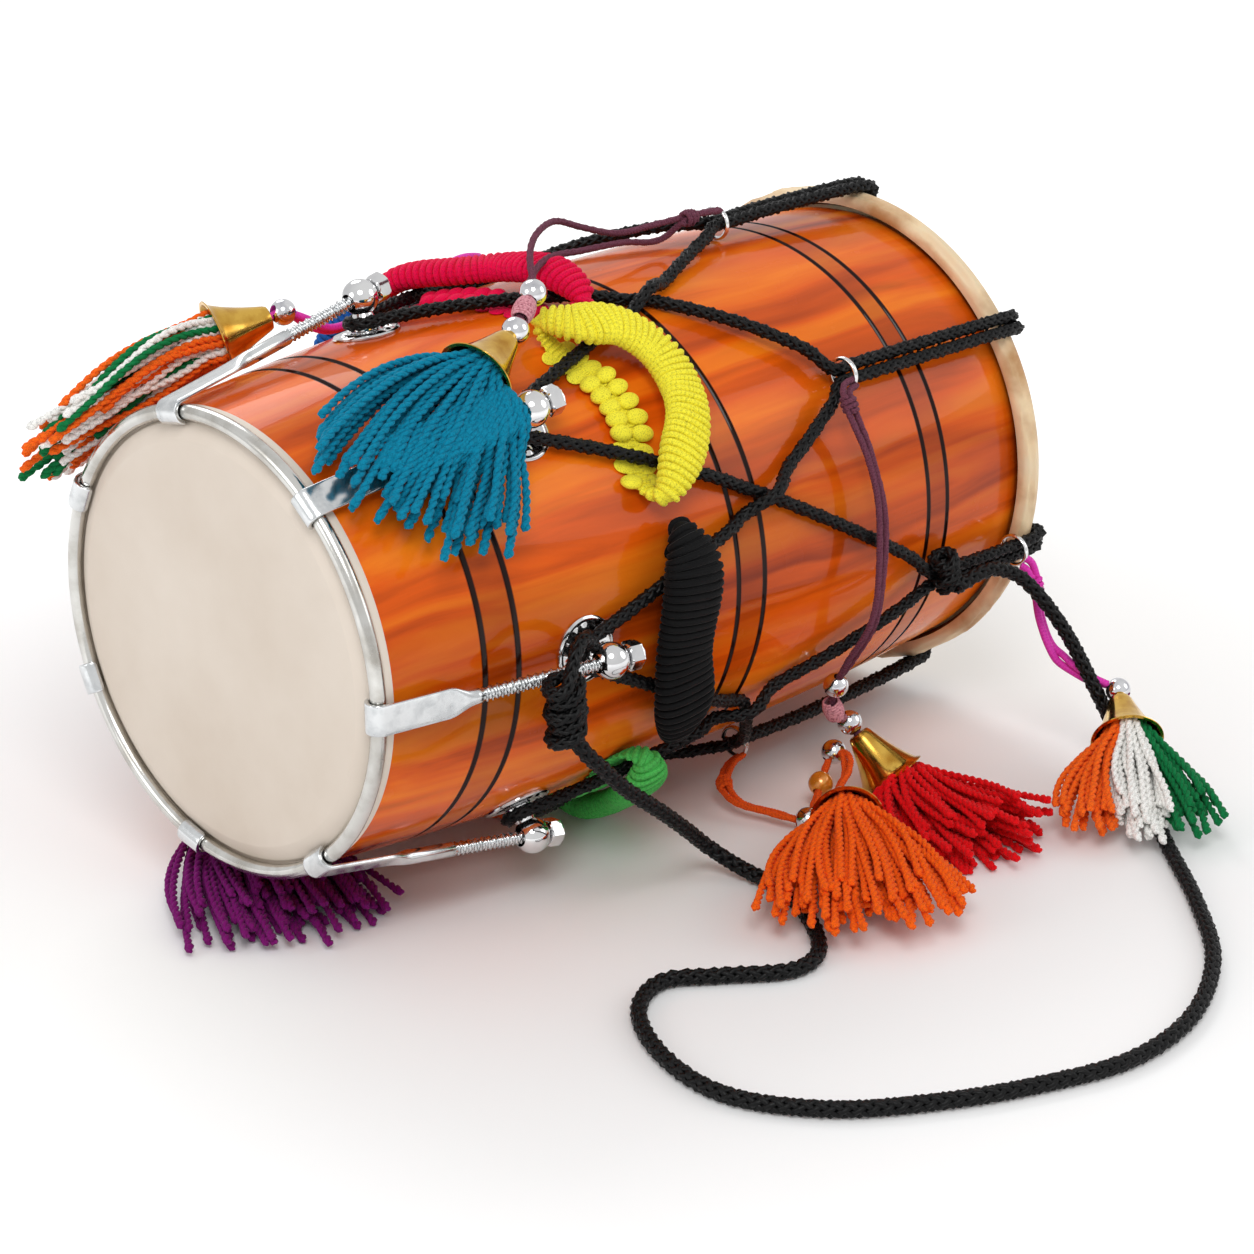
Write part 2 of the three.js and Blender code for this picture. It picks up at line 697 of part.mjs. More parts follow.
const pairPlace = (pair, x) => {
  const gx = gatherX[pair];
  const along = Math.max(0, x - gx) / (fleshX - gx);
  const angle = gatherAngle(pair) + (rimAngle(pair) - gatherAngle(pair)) * along;
  return onBarrel(x, angle, ringRise + (rimRise - ringRise) * along);
};
const nearRimShare = 0.976;
const tassels = [
  {
    name: "blue",
    ring: pairPlace(0, gatherX[0]),
    cord: [[436, -8, 196], [411, -13, 198], [385, -6, 196], [360, 2, 194], [325, 0, 205], [293, -7, 217],
      [262, -24, 220], [237, -42, 215], [208, -70, 199], [193, -77, 192], [178, -85, 184]],
    beads: [8, 9, 10],
    mouth: [134, -95, 166],
    tuft: [52, -128, 118],
    spread: [-52, 44, 37],
    overRods: true,
  },
  {
    name: "red",
    ring: pairPlace(1, gatherX[1]),
    cord: [[410, -160, 109], [404, -168, 101], [411, -180, 68], [415, -189, 32], [413, -193, -6],
      [410, -190, -50], [410, -170, -86], [411, -157, -108], [415, -152, -129], [427, -158, -142]],
    beads: [7, 8, 9],
    mouth: [436, -189, -177],
    tuft: [405, -291, -181],
    spread: [58, 26, 4],
  },
  {
    name: "orange",
    ring: pairPlace(3, gatherX[3]),
    cord: [[368, -99, -172], [349, -110, -178], [343, -128, -184], [350, -152, -186], [359, -179, -186],
      [376, -171, -182], [393, -161, -176], [418, -151, -163], [414, -165, -160], [402, -177, -165],
      [386, -184, -169]],
    beads: [4, 6, 7],
    mouth: [350, -222, -169],
    tuft: [281, -297, -172],
    spread: [57, -35, 0],
    overStrap: true,
  },
  {
    name: "tricolour_right",
    ring: pairPlace(2, nearRimShare * barrelLength),
    cord: [[581, -190, -58], [584, -195, -70], [592, -207, -90], [598, -227, -110], [596, -250, -124],
      [589, -269, -133]],
    beads: [5],
    mouth: [558, -301, -152],
    tuft: [506, -352, -172],
    spread: [45, -38, 0],
    overStrap: true,
  },
  {
    name: "tricolour_left",
    ring: pairPlace(6, gatherX[6]),
    cord: [[366, 143, 137], [352, 139, 145], [330, 116, 160], [300, 107, 165], [262, 103, 151],
      [235, 101, 147], [212, 100, 146], [180, 99, 145], [143, 101, 164]],
    beads: [8],
    mouth: [100, 118, 152],
    tuft: [4, 158, 120],
    spread: [0, 36, -45],
    overRods: true,
  },
  {
    name: "purple",
    ring: pairPlace(4, gatherX[4]),
    cord: [[386, 86, -176], [374, 88, -179], [340, 92, -185], [280, 98, -188], [215, 103, -188],
      [175, 103, -182], [146, 105, -167], [117, 107, -152]],
    beads: [6, 7],
    mouth: [80, 80, -168.5],
    tuft: [16, -47, -185],
    spread: [74, -26, 0],
    thin: true,
    underRod: 4,
  },
];

// The bell's axis runs from the cord's end to its mouth.
function bellPlaces({ cord, mouth }) {
  const end = point(...cord[cord.length - 1]);
  const mouthPlace = point(...mouth);
  const axis = mouthPlace.clone().sub(end).normalize();
  return { mouthPlace, axis, top: mouthPlace.clone().addScaledVector(axis, -bellLength) };
}

function makeTasselCord(one) {
  const { axis, top } = bellPlaces(one);
  const wire = ringInner + ringWire;
  const ring = new THREE.TorusGeometry(wire, ringWire, 4, 10).rotateY(Math.PI / 2);
  ring.translate(...one.ring.toArray());
  const marks = one.cord.map((place) => point(...place));
  const start = one.ring.clone().add(marks[0].clone().sub(one.ring).setX(0).setLength(wire));
  const lastBead = marks[marks.length - 1];
  if (one.beads.includes(marks.length - 1)) lastBead.copy(top).addScaledVector(axis, -beadRadius - fitGap);
  const intoBell = [-fitGap, bellSheet + tasselCord].map((s) => top.clone().addScaledVector(axis, s));
  const cord = cordAlong([start, ...marks, ...intoBell], tasselCord, 6, 2);
  const parts = [solid(ring), cord, ball(marks[1], knotRadius, 6)];
  for (const i of one.beads) parts.push(ball(marks[i], beadRadius, 6));
  return parts.reduce((sum, next) => sum.add(next));
}

// Stands a shape that was made along +Y from the origin on a place, along an axis.
function stoodOn(geometry, foot, axis) {
  const turn = new THREE.Quaternion().setFromUnitVectors(point(0, 1, 0), axis);
  return solid(geometry.applyQuaternion(turn).translate(...foot.toArray()));
}

const bellSides = 8;
const bellHole = (tasselCord + ropeGap) / Math.cos(Math.PI / bellSides);

function makeBell(one) {
  const { axis, top } = bellPlaces(one);
  const profile = [
    [bellHole, 0],
    [bellTop, 0],
    [bellMouth - bellLip, bellLength - bellLip],
    [bellMouth, bellLength - bellSheet],
    [bellMouth, bellLength],
    [bellMouth - bellLip - bellSheet, bellLength],
    [bellTop - bellSheet, bellSheet],
    [bellHole, bellSheet],
    [bellHole, 0],
  ].map(([radius, along]) => new THREE.Vector2(radius, along));
  return stoodOn(new THREE.LatheGeometry(profile, bellSides), top, axis);
}

// Keeps a place of a tuft off the barrel, the rods, the strap rope and the floor. Over the rods it also keeps
// its height above the tuft's inner side, so that the tuft stays as thick as it is elsewhere.
function keptClear(place, one, floor, height) {
  const angle = THREE.MathUtils.radToDeg(Math.atan2(-place.y, place.z));
  const rodMiddle = hoopRadius + (2 * clawMiddle) / Math.cos(rodLean) + place.x * Math.tan(rodLean);
  const rod = rodMiddle + rodRadius;
  const least = one.overRods ? rod + tuftLift + height : barrelRadius(place.x) + ropeGap;
  if (Math.hypot(place.y, place.z) < least) place.copy(around(place.x, angle, least));
  if (one.underRod) {
    const lowestRod = -rod * Math.cos(radians(lugAngle(one.underRod) - 180));
    place.setZ(Math.min(place.z, lowestRod - ropeGap));
  }
  const lowest = floor + ropeGap + (one.overStrap ? 2 * strapRadius + ropeGap : 0);
  return place.setZ(Math.max(place.z, lowest));
}

// The tuft: packed round in the bell, then spreading to a flat fan along a curve to its end.
function makeTuft(one, floor) {
  const { axis, mouthPlace, top } = bellPlaces(one);
  const sides = 8;
  const end = point(...one.tuft);
  const spread = point(...one.spread);
  const inner = (along) => {
    const share = (along - bellSheet) / (bellLength - bellSheet);
    const radius = bellTop - bellSheet + share * (bellMouth - bellLip - bellTop);
    return radius * Math.cos(Math.PI / bellSides) - ropeGap;
  };
  const bend = mouthPlace.clone().addScaledVector(axis, bellLength * tuftBendShare);
  const path = new THREE.QuadraticBezierCurve3(mouthPlace, bend, end);
  const ring = (centre, tangent, halfWidth, halfThickness, clear) => {
    const across = spread.clone().addScaledVector(tangent, -spread.dot(tangent)).normalize();
    const up = tangent.clone().cross(across);
    const outwards = Math.sign(up.dot(point(0, centre.y, centre.z)));
    return Array.from({ length: sides }, (_, j) => {
      const a = (2 * Math.PI * (j + 0.5)) / sides;
      const place = centre.clone();
      place.addScaledVector(across, halfWidth * Math.cos(a)).addScaledVector(up, halfThickness * Math.sin(a));
      return clear ? keptClear(place, one, floor, halfThickness * (1 + outwards * Math.sin(a))) : place;
    });
  };
  const deep = bellSheet + 2 * tasselCord;
  const packed = [deep, bellLength].map((along) => {
    const centre = top.clone().addScaledVector(axis, along);
    return ring(centre, axis, inner(along), inner(along), false);
  });
  const packedRadius = inner(bellLength);
  const thickness = one.thin ? thinTuft : tuftThickness;
  const fanShares = [0.35, 0.65, 1];
  const fan = fanShares.map((share) => {
    const width = packedRadius + (spread.length() - packedRadius) * share;
    const height = packedRadius + (thickness - packedRadius) * Math.sqrt(share);
    return ring(path.getPoint(share), path.getTangent(share), width, height, true);
  });
  return skinned([...packed, ...fan]);
}

// Strap rope: tied at the third lug, down to the floor, round in a bow and up to a pair of strands.
const strapRoute = [
  [130, -174, -28], [131, -187, -52], [150, -188, -74], [172, -186, -96], [211, -182, -128],
  [240, -178, -153], [262, -175, -173], [274, -191, -186], [276, -222, -190.2], [262, -262, -190.2],
  [226, -305, -190.2], [200, -309, -190.2], [160, -280, -190.2], [131, -260, -190.2], [97, -272, -190.2],
  [66, -320, -190.2], [58, -378, -190.2], [88, -433, -190.2], [140, -474, -190.2], [196, -504, -190.2],
  [256, -525, -190.2], [321, -522, -190.2], [394, -489, -190.2], [454, -434, -190.2], [509, -372, -190.2],
  [545, -335, -190.2], [575, -303, -188], [585, -278, -171], [579, -258, -135], [573, -228, -90],
  [554, -205, -55], [528, -198, -43], [492, -195, -47.6],
];

function makeStrapRope() {
  const places = strapRoute.map((place) => point(...place));
  const rope = cordAlong(places, strapRadius, 8, 3);
  return rope.add(ball(places[0], strapKnot, 6)).add(ball(places[places.length - 1], strapKnot, 6));
}

// Assembly
const drum = new THREE.Group();

// Names a solid, gives it its look and puts it in the drum.
function place(name, made, look) {
  const mesh = new THREE.Mesh(geometryOf(made), look);
  mesh.name = name;
  drum.add(mesh);
  return mesh;
}

const finish = (color, roughness, metalness) =>
  new THREE.MeshStandardMaterial({ color, roughness, metalness });
const varnishedWood = finish(0xb4541a, 0.25, 0);
const creamSkin = finish(0xe2d5c8, 0.6, 0);
const goatSkin = finish(0xd9ba8c, 0.7, 0);
const steel = finish(0xb8b8b4, 0.35, 1);
const galvanised = finish(0xaeb2b2, 0.4, 1);
const brass = finish(0xc9a03c, 0.25, 1);
const chrome = finish(0xdcdcdc, 0.12, 1);
const blackRope = finish(0x141414, 0.8, 0);

place("shell", makeShell(), varnishedWood);
place("front_head", makeFrontHead(), creamSkin);
place("front_hoop", makeFrontHoop(), steel);
place("rear_head", makeRearHead(), goatSkin);
place("rear_hoop", makeRearHoop(), varnishedWood);
for (let k = 0; k < lugCount; k++) {
  const turn = lugFrame(k).elements;
  const number = k + 1;
  place("hook_rod_" + number, makeHookRod().transform(turn), galvanised);
  place("tension_nut_" + number, makeTensionNut().transform(turn), chrome);
  place("ball_bolt_" + number, makeBallBolt().transform(turn), chrome);
  place("backplate_" + number, makeBackplate().transform(turn), chrome);
}

// The drum lies on its lowest lug.
const floor = new THREE.Box3().setFromObject(drum).min.z;
const yarnColours = [0xcd0f50, 0xf2d21c, 0x151515, 0x50be5a, 0xd9531e, 0x7a1c86, 0x1660b4];
for (let k = 0; k < lugCount; k++) {
  place("tuning_sleeve_" + (k + 1), pressedFlat(makeSleeve(k), floor), finish(yarnColours[k], 0.9, 0));
}
place("lacing_rope", makeLacingRope(), blackRope);

// The part's origin is the middle of the drum's footprint, on the floor.
const footprint = new THREE.Box3().setFromObject(drum).getCenter(point(0, 0, 0));
drum.position.set(-footprint.x, -footprint.y, -floor);

const tuftColours = { blue: 0x008caf, red: 0xc80a14, orange: 0xff5a0a, purple: 0x730a64 };
const tricolour = 0x0a8246;
for (const one of tassels) {
  const yarn = finish(tuftColours[one.name] ?? tricolour, 0.9, 0);
  place("tassel_" + one.name + "_cord", makeTasselCord(one), finish(0x5a2846, 0.6, 0));
  place("tassel_" + one.name + "_bell", makeBell(one), brass);
  place("tassel_" + one.name + "_yarn", makeTuft(one, floor), yarn);
}
place("strap_rope", makeStrapRope(), blackRope);

export default drum;
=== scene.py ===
"""Dresses the dhol: a barrel drum lying on its side, with its lacing, sleeves, tassels and rope strap.

Sizes are in millimetres in the drum's own frame, where the front hoop's centre is the origin and +X runs
to the rear head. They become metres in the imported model's frame as each mesh is made.
"""

import json
import logging
import math
import random
from collections.abc import Callable
from dataclasses import dataclass, field
from enum import Enum
from functools import cache

import bpy
import numpy as np
from mathutils import Matrix, Vector

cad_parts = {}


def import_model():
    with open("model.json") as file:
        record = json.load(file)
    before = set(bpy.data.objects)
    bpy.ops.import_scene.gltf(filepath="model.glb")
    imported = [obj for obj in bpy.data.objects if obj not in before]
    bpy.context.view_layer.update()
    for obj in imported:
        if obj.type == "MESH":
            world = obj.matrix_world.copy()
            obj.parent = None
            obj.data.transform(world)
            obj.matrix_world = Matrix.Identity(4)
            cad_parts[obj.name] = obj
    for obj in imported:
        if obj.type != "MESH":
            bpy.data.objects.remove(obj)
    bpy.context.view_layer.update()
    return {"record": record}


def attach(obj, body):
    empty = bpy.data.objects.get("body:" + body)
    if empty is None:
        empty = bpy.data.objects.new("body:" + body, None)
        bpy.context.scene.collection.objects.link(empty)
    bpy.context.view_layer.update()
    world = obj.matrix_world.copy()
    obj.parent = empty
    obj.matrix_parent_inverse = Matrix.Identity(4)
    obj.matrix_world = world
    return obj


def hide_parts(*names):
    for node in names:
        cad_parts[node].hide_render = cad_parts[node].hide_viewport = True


log = logging.getLogger("dhol")

Point = tuple[float, float, float]
Path = list[Vector]

# Shared sizes of the drum


@dataclass(frozen=True)
class Barrel:
    """The barrel's outside, which everything on the drum follows."""

    length: float = 591.0
    front: float = 149.6
    rear: float = 166.6
    bulge: float = 13.9
    wall: float = 18.0
    lugs: int = 7
    first_lug: float = -12.0

    @property
    def pitch(self) -> float:
        """Angle from lug to lug, in degrees."""
        return 360.0 / self.lugs

    def radius(self, x: float) -> float:
        """Outside radius at x."""
        u = x / self.length
        return self.front * (1 - u) + self.rear * u + 4 * self.bulge * u * (1 - u)

    def lug(self, turns: float) -> float:
        """Angle round the drum of a place counted in lugs."""
        return self.first_lug + turns * self.pitch

    def around(self, x: float, angle: float, radius: float) -> Vector:
        """The place at x, at an angle from the top towards -Y, and at a radius."""
        a = math.radians(angle)
        return Vector((x, -radius * math.sin(a), radius * math.cos(a)))

    def on(self, x: float, angle: float, lift: float) -> Vector:
        """The place at x and an angle, lifted off the barrel."""
        return self.around(x, angle, self.radius(x) + lift)


BARREL = Barrel()

# Gaps between pieces, then places and sizes that several parts share

FIT_GAP = 0.3
ROPE_GAP = 0.4
HEAD_FACE = -3.5
HOOP_RADIUS = 150.0
HOOP_PIPE = 5.0
BALL_X = 158.0
CROSS_X = 323.0
ROPE = 4.5
ROPE_RISE = 8.0
RING_WIRE = 1.3
FLOOR_GAP = 0.6


class Place:
    """Turns millimetres in the drum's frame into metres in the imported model's frame."""

    shift: Vector = Vector((0.0, 0.0, 0.0))

    @classmethod
    def settle(cls, record: dict) -> None:
        """Finds the drum's place from the front head's mount.

        Args:
            record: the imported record.
        """
        mount = next(one for one in record["mounts"] if one["name"] == "front_head_face")
        cls.shift = Vector(mount["pos_m"]) * 1000.0 - Vector((HEAD_FACE, 0.0, 0.0))

    @classmethod
    def metres(cls, place: Vector) -> Vector:
        """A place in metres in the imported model's frame."""
        return (Vector(place) + cls.shift) / 1000.0

    @classmethod
    def array(cls, places: np.ndarray) -> np.ndarray:
        """Many places in metres, as rows."""
        return (places + np.array(cls.shift)) / 1000.0


# Meshes


def make_object(name: str, verts: np.ndarray, faces: list, smooth_angle: float = 40.0) -> bpy.types.Object:
    """Makes a mesh object with its place in its mesh.

    Args:
        name: the piece's name.
        verts: rows of x, y, z in millimetres in the drum's frame.
        faces: tuples of vertex numbers.
        smooth_angle: edges sharper than this many degrees stay sharp.

    Returns:
        The new object, linked to the scene.
    """
    mesh = bpy.data.meshes.new(name)
    mesh.from_pydata(Place.array(np.asarray(verts, dtype=float)).tolist(), [], faces)
    mesh.validate()
    mesh.update()
    piece = bpy.data.objects.new(name, mesh)
    bpy.context.scene.collection.objects.link(piece)
    face_outwards(mesh)
    mesh.shade_smooth()
    mesh.set_sharp_from_angle(angle=math.radians(smooth_angle))
    return piece


def face_outwards(mesh: bpy.types.Mesh) -> None:
    """Turns a closed mesh's faces outwards where its volume comes out negative."""
    mesh.calc_loop_triangles()
    tris = np.empty(len(mesh.loop_triangles) * 3, dtype=np.int64)
    mesh.loop_triangles.foreach_get("vertices", tris)
    co = np.empty(len(mesh.vertices) * 3)
    mesh.vertices.foreach_get("co", co)
    co = co.reshape(-1, 3)
    a, b, c = (co[tris.reshape(-1, 3)[:, i]] for i in range(3))
    if np.einsum("ij,ij->i", a, np.cross(b, c)).sum() < 0:
        mesh.flip_normals()


def ring_faces(rings: int, sides: int, looped: bool = False, capped: bool = True, start: int = 0) -> list:
    """Faces that skin rings of equally many points.

    Args:
        rings: how many rings there are.
        sides: points in each ring.
        looped: joins the last ring to the first.
        capped: closes both ends of an open run.
        start: number of the first vertex.

    Returns:
        The faces as tuples of vertex numbers.
    """
    faces = []
    for i in range(rings if looped else rings - 1):
        n = (i + 1) % rings
        for j in range(sides):
            k = (j + 1) % sides
            corners = ((i, j), (i, k), (n, k), (n, j))
            faces.append(tuple(start + ring * sides + point for ring, point in corners))
    if capped and not looped:
        faces.append(tuple(start + j for j in reversed(range(sides))))
        faces.append(tuple(start + (rings - 1) * sides + j for j in range(sides)))
    return faces


def turned(profile: list, sides: int, axis: Matrix | None = None) -> tuple[np.ndarray, list]:
    """Revolves a closed profile of [x, radius] pairs round +X, or round a turned and moved axis.

    Args:
        profile: the outline, where a radius of 0 is on the axis.
        sides: steps round the axis.
        axis: the transform of the finished shape.

    Returns:
        Vertices and faces.
    """
    verts, rings = [], []
    for x, radius in profile:
        if radius == 0:
            rings.append([len(verts)] * sides)
            verts.append((x, 0.0, 0.0))
            continue
        rings.append(list(range(len(verts), len(verts) + sides)))
        for j in range(sides):
            a = 2 * math.pi * j / sides
            verts.append((x, -radius * math.sin(a), radius * math.cos(a)))
    faces = []
    for i, ring in enumerate(rings):
        after = rings[(i + 1) % len(rings)]
        for j in range(sides):
            k = (j + 1) % sides
            face = list(dict.fromkeys((ring[j], ring[k], after[k], after[j])))
            if len(face) > 2:
                faces.append(tuple(face))
    places = np.array(verts)
    if axis is not None:
        places = places @ np.array(axis.to_3x3()).T + np.array(axis.translation)
    return places, faces


def joined(parts: list) -> tuple[np.ndarray, list]:
    """Puts several (vertices, faces) pairs into one."""
    verts, faces = [], []
    for part_verts, part_faces in parts:
        start = sum(len(v) for v in verts)
        verts.append(np.asarray(part_verts))
        faces += [tuple(start + i for i in face) for face in part_faces]
    return np.concatenate(verts), faces


def axis_matrix(foot: Vector, along: Vector) -> Matrix:
    """The transform that stands +X along a direction, with its foot at a place."""
    turn = Vector((1.0, 0.0, 0.0)).rotation_difference(along.normalized()).to_matrix().to_4x4()
    return Matrix.Translation(foot) @ turn


def weights(u: float) -> tuple[float, float, float, float]:
    """Weights of a cubic's first place, first slope, second place and second slope, at a share of its run."""
    return (2 * u**3 - 3 * u**2 + 1, u**3 - 2 * u**2 + u, -2 * u**3 + 3 * u**2, u**3 - u**2)


def powered(value: float, power: float) -> float:
    """A value's size raised to a power, with its own sign."""
    return math.copysign(abs(value) ** power, value)


def heading(path: Path, i: int, reach: int = 1) -> Vector:
    """The direction of a path at one of its points, between the points a reach before and after it."""
    return (path[min(i + reach, len(path) - 1)] - path[max(i - reach, 0)]).normalized()


def smooth_path(marks: Path, step: float, looped: bool = False) -> Path:
    """Points a step apart along a centripetal curve through the marks.

    Args:
        marks: places to pass.
        step: length between points, in millimetres.
        looped: whether the curve closes.

    Returns:
        The points, with both ends kept on an open path.
    """
    pts = [np.array(m) for m in marks]
    n = len(pts)
    dense = []
    spans = n if looped else n - 1
    for i in range(spans):
        p1, p2 = pts[i], pts[(i + 1) % n]
        p0 = pts[(i - 1) % n] if looped or i > 0 else 2 * p1 - p2
        p3 = pts[(i + 2) % n] if looped or i + 2 < n else 2 * p2 - p1
        t01, t12, t23 = (max(1e-6, np.linalg.norm(b - a) ** 0.5) for a, b in ((p0, p1), (p1, p2), (p2, p3)))
        m1 = (p2 - p1) + t12 * ((p1 - p0) / t01 - (p2 - p0) / (t01 + t12))
        m2 = (p2 - p1) + t12 * ((p3 - p2) / t23 - (p3 - p1) / (t12 + t23))
        count = max(4, int(np.linalg.norm(p2 - p1) / (step * 0.4)))
        for k in range(count):
            u = k / count
            w = weights(u)
            dense.append(w[0] * p1 + w[1] * m1 + w[2] * p2 + w[3] * m2)
    dense.append(pts[0] if looped else pts[-1])
    dense = np.array(dense)
    runs = np.concatenate([[0.0], np.cumsum(np.linalg.norm(np.diff(dense, axis=0), axis=1))])
    count = max(2, round(runs[-1] / step))
    at = np.linspace(0, runs[-1], count + 1)
    if looped:
        at = at[:-1]
    return [Vector(tuple(np.interp(s, runs, dense[:, c]) for c in range(3))) for s in at]


def path_length(path: Path) -> float:
    """Length of a path in millimetres."""
    return sum((b - a).length for a, b in zip(path, path[1:]))


def ball_mesh(centre: Vector, radius: float, hole: float = 0.0, along: Vector = Vector((1, 0, 0))) -> tuple:
    """A ball, or a bead where a hole is given, with its hole along a direction."""
    steps = 16
    least = math.asin(hole / radius) if hole else 0.0
    angles = [least + (math.pi - 2 * least) * i / steps for i in range(steps + 1)]
    profile = [(-radius * math.cos(a), radius * math.sin(a)) for a in angles]
    if not hole:
        profile[0], profile[-1] = (-radius, 0), (radius, 0)
    return turned(profile, 28, axis_matrix(centre, along))


# Node trees


class Tree:
    """A node tree with short ways to add and join its nodes."""

    def __init__(self, tree: bpy.types.NodeTree) -> None:
        """Keeps the tree, its nodes and its links."""
        self.tree, self.nodes, self.links = tree, tree.nodes, tree.links

    def join(self, socket: bpy.types.NodeSocket, value: object) -> None:
        """Joins an input to another node's output, or sets its value."""
        if isinstance(value, bpy.types.NodeSocket):
            self.links.new(value, socket)
        else:
            socket.default_value = value

    def add(self, kind: str, inputs: dict | None = None, **settings: object) -> bpy.types.Node:
        """Adds a node.

        Args:
            kind: the node's type.
            inputs: an output to join or a value to set, for each input by its name or number.
            settings: the node's own settings.

        Returns:
            The new node.
        """
        node = self.nodes.new(kind)
        for key, value in settings.items():
            setattr(node, key, value)
        for key, value in (inputs or {}).items():
            self.join(node.inputs[key], value)
        return node

    def maths(self, operation: str, *values: object) -> bpy.types.NodeSocket:
        """A Math node fed by outputs or numbers."""
        return self.add("ShaderNodeMath", dict(enumerate(values)), operation=operation).outputs[0]

    def vectors(self, operation: str, first: object, second: object) -> bpy.types.NodeSocket:
        """A Vector Math node of two inputs, where a scale takes a number."""
        other = "Scale" if operation == "SCALE" else 1
        return self.add("ShaderNodeVectorMath", {0: first, other: second}, operation=operation).outputs[0]

    def where(self) -> bpy.types.NodeSocket:
        """The place on the object, in metres."""
        return self.add("ShaderNodeTexCoord").outputs["Object"]

    def noise(self, where: bpy.types.NodeSocket, scale: object, detail: float = 2.0,
              wander: object = 0.0) -> bpy.types.Node:
        """A noise texture."""
        return self.add("ShaderNodeTexNoise",
                        {"Vector": where, "Scale": scale, "Detail": detail, "Distortion": wander})


# Strands laid, braided or wound along a path, by Geometry Nodes


class StrandTree:
    """The node tree that lays strands along every spline of a curve."""

    tree: bpy.types.NodeTree | None = None
    sockets: dict[str, str] = {}
    inputs = {"Strands": "Int", "Lay Radius": "Float", "Strand Radius": "Float", "Pitch": "Float",
              "Crossing": "Float", "Opposed": "Float", "Step": "Float", "Sides": "Int",
              "Material": "Material"}

    @classmethod
    def get(cls) -> bpy.types.NodeTree:
        """The tree, built once, whose inputs are named for the strands' sizes."""
        if cls.tree is None:
            cls.tree = bpy.data.node_groups.new("laid_strands", "GeometryNodeTree")
            face = cls.tree.interface
            face.new_socket("Geometry", in_out="INPUT", socket_type="NodeSocketGeometry")
            for name, kind in cls.inputs.items():
                socket = face.new_socket(name, in_out="INPUT", socket_type="NodeSocket" + kind)
                cls.sockets[name] = socket.identifier
            face.new_socket("Geometry", in_out="OUTPUT", socket_type="NodeSocketGeometry")
            cls.fill(Tree(cls.tree))
        return cls.tree

    @staticmethod
    def fill(t: Tree) -> None:
        """Copies each spline once for each strand and leads the copies round the path.

        Args:
            t: the tree to fill.
        """
        given, sink = t.add("NodeGroupInput").outputs, t.add("NodeGroupOutput")
        even = t.add("GeometryNodeResampleCurve", {"Curve": given["Geometry"], "Length": given["Step"]},
                     mode="LENGTH")
        run = t.add("GeometryNodeSplineParameter").outputs["Length"]
        keep = t.add("GeometryNodeStoreNamedAttribute",
                     {"Name": "along", "Geometry": even.outputs[0], "Value": run},
                     data_type="FLOAT", domain="POINT")
        copies = t.add("GeometryNodeDuplicateElements",
                       {"Geometry": keep.outputs[0], "Amount": given["Strands"]}, domain="SPLINE")
        index = copies.outputs["Duplicate Index"]
        odd = t.maths("MODULO", index, 2.0)
        direction = t.maths("SUBTRACT", 1.0,
                            t.maths("MULTIPLY", t.maths("MULTIPLY", odd, 2.0), given["Opposed"]))
        lead = t.maths("DIVIDE", t.maths("MULTIPLY", run, math.tau), given["Pitch"])
        first = t.maths("DIVIDE", t.maths("MULTIPLY", index, math.tau), given["Strands"])
        paired = t.maths("MULTIPLY", t.maths("MULTIPLY", odd, given["Opposed"]),
                         t.maths("DIVIDE", math.tau, given["Strands"]))
        angle = t.maths("ADD", t.maths("MULTIPLY", lead, direction), t.maths("SUBTRACT", first, paired))
        swell = t.maths("MULTIPLY", t.maths("MULTIPLY", given["Crossing"], direction),
                        t.maths("COSINE", t.maths("MULTIPLY", lead, 4.0)))
        reach = t.maths("ADD", given["Lay Radius"], swell)
        normal, tangent = (t.add("GeometryNodeInput" + kind).outputs[0] for kind in ("Normal", "Tangent"))
        sideways = t.vectors("CROSS_PRODUCT", tangent, normal)
        legs = [t.vectors("SCALE", way, t.maths("MULTIPLY", reach, t.maths(turn, angle)))
                for way, turn in ((normal, "COSINE"), (sideways, "SINE"))]
        offset = t.vectors("ADD", *legs)
        move = t.add("GeometryNodeSetPosition", {"Geometry": copies.outputs["Geometry"], "Offset": offset})
        section = t.add("GeometryNodeCurvePrimitiveCircle",
                        {"Resolution": given["Sides"], "Radius": given["Strand Radius"]})
        skin = t.add("GeometryNodeCurveToMesh",
                     {"Fill Caps": True, "Curve": move.outputs[0], "Profile Curve": section.outputs[0]})
        if "Scale" in skin.inputs:
            t.join(skin.inputs["Scale"], t.add("GeometryNodeInputRadius").outputs[0])
        smooth = t.add("GeometryNodeSetShadeSmooth", {"Geometry": skin.outputs[0]})
        real = t.add("GeometryNodeRealizeInstances", {0: smooth.outputs[0]})
        finished = t.add("GeometryNodeSetMaterial",
                         {"Geometry": real.outputs[0], "Material": given["Material"]})
        t.join(sink.inputs[0], finished.outputs[0])


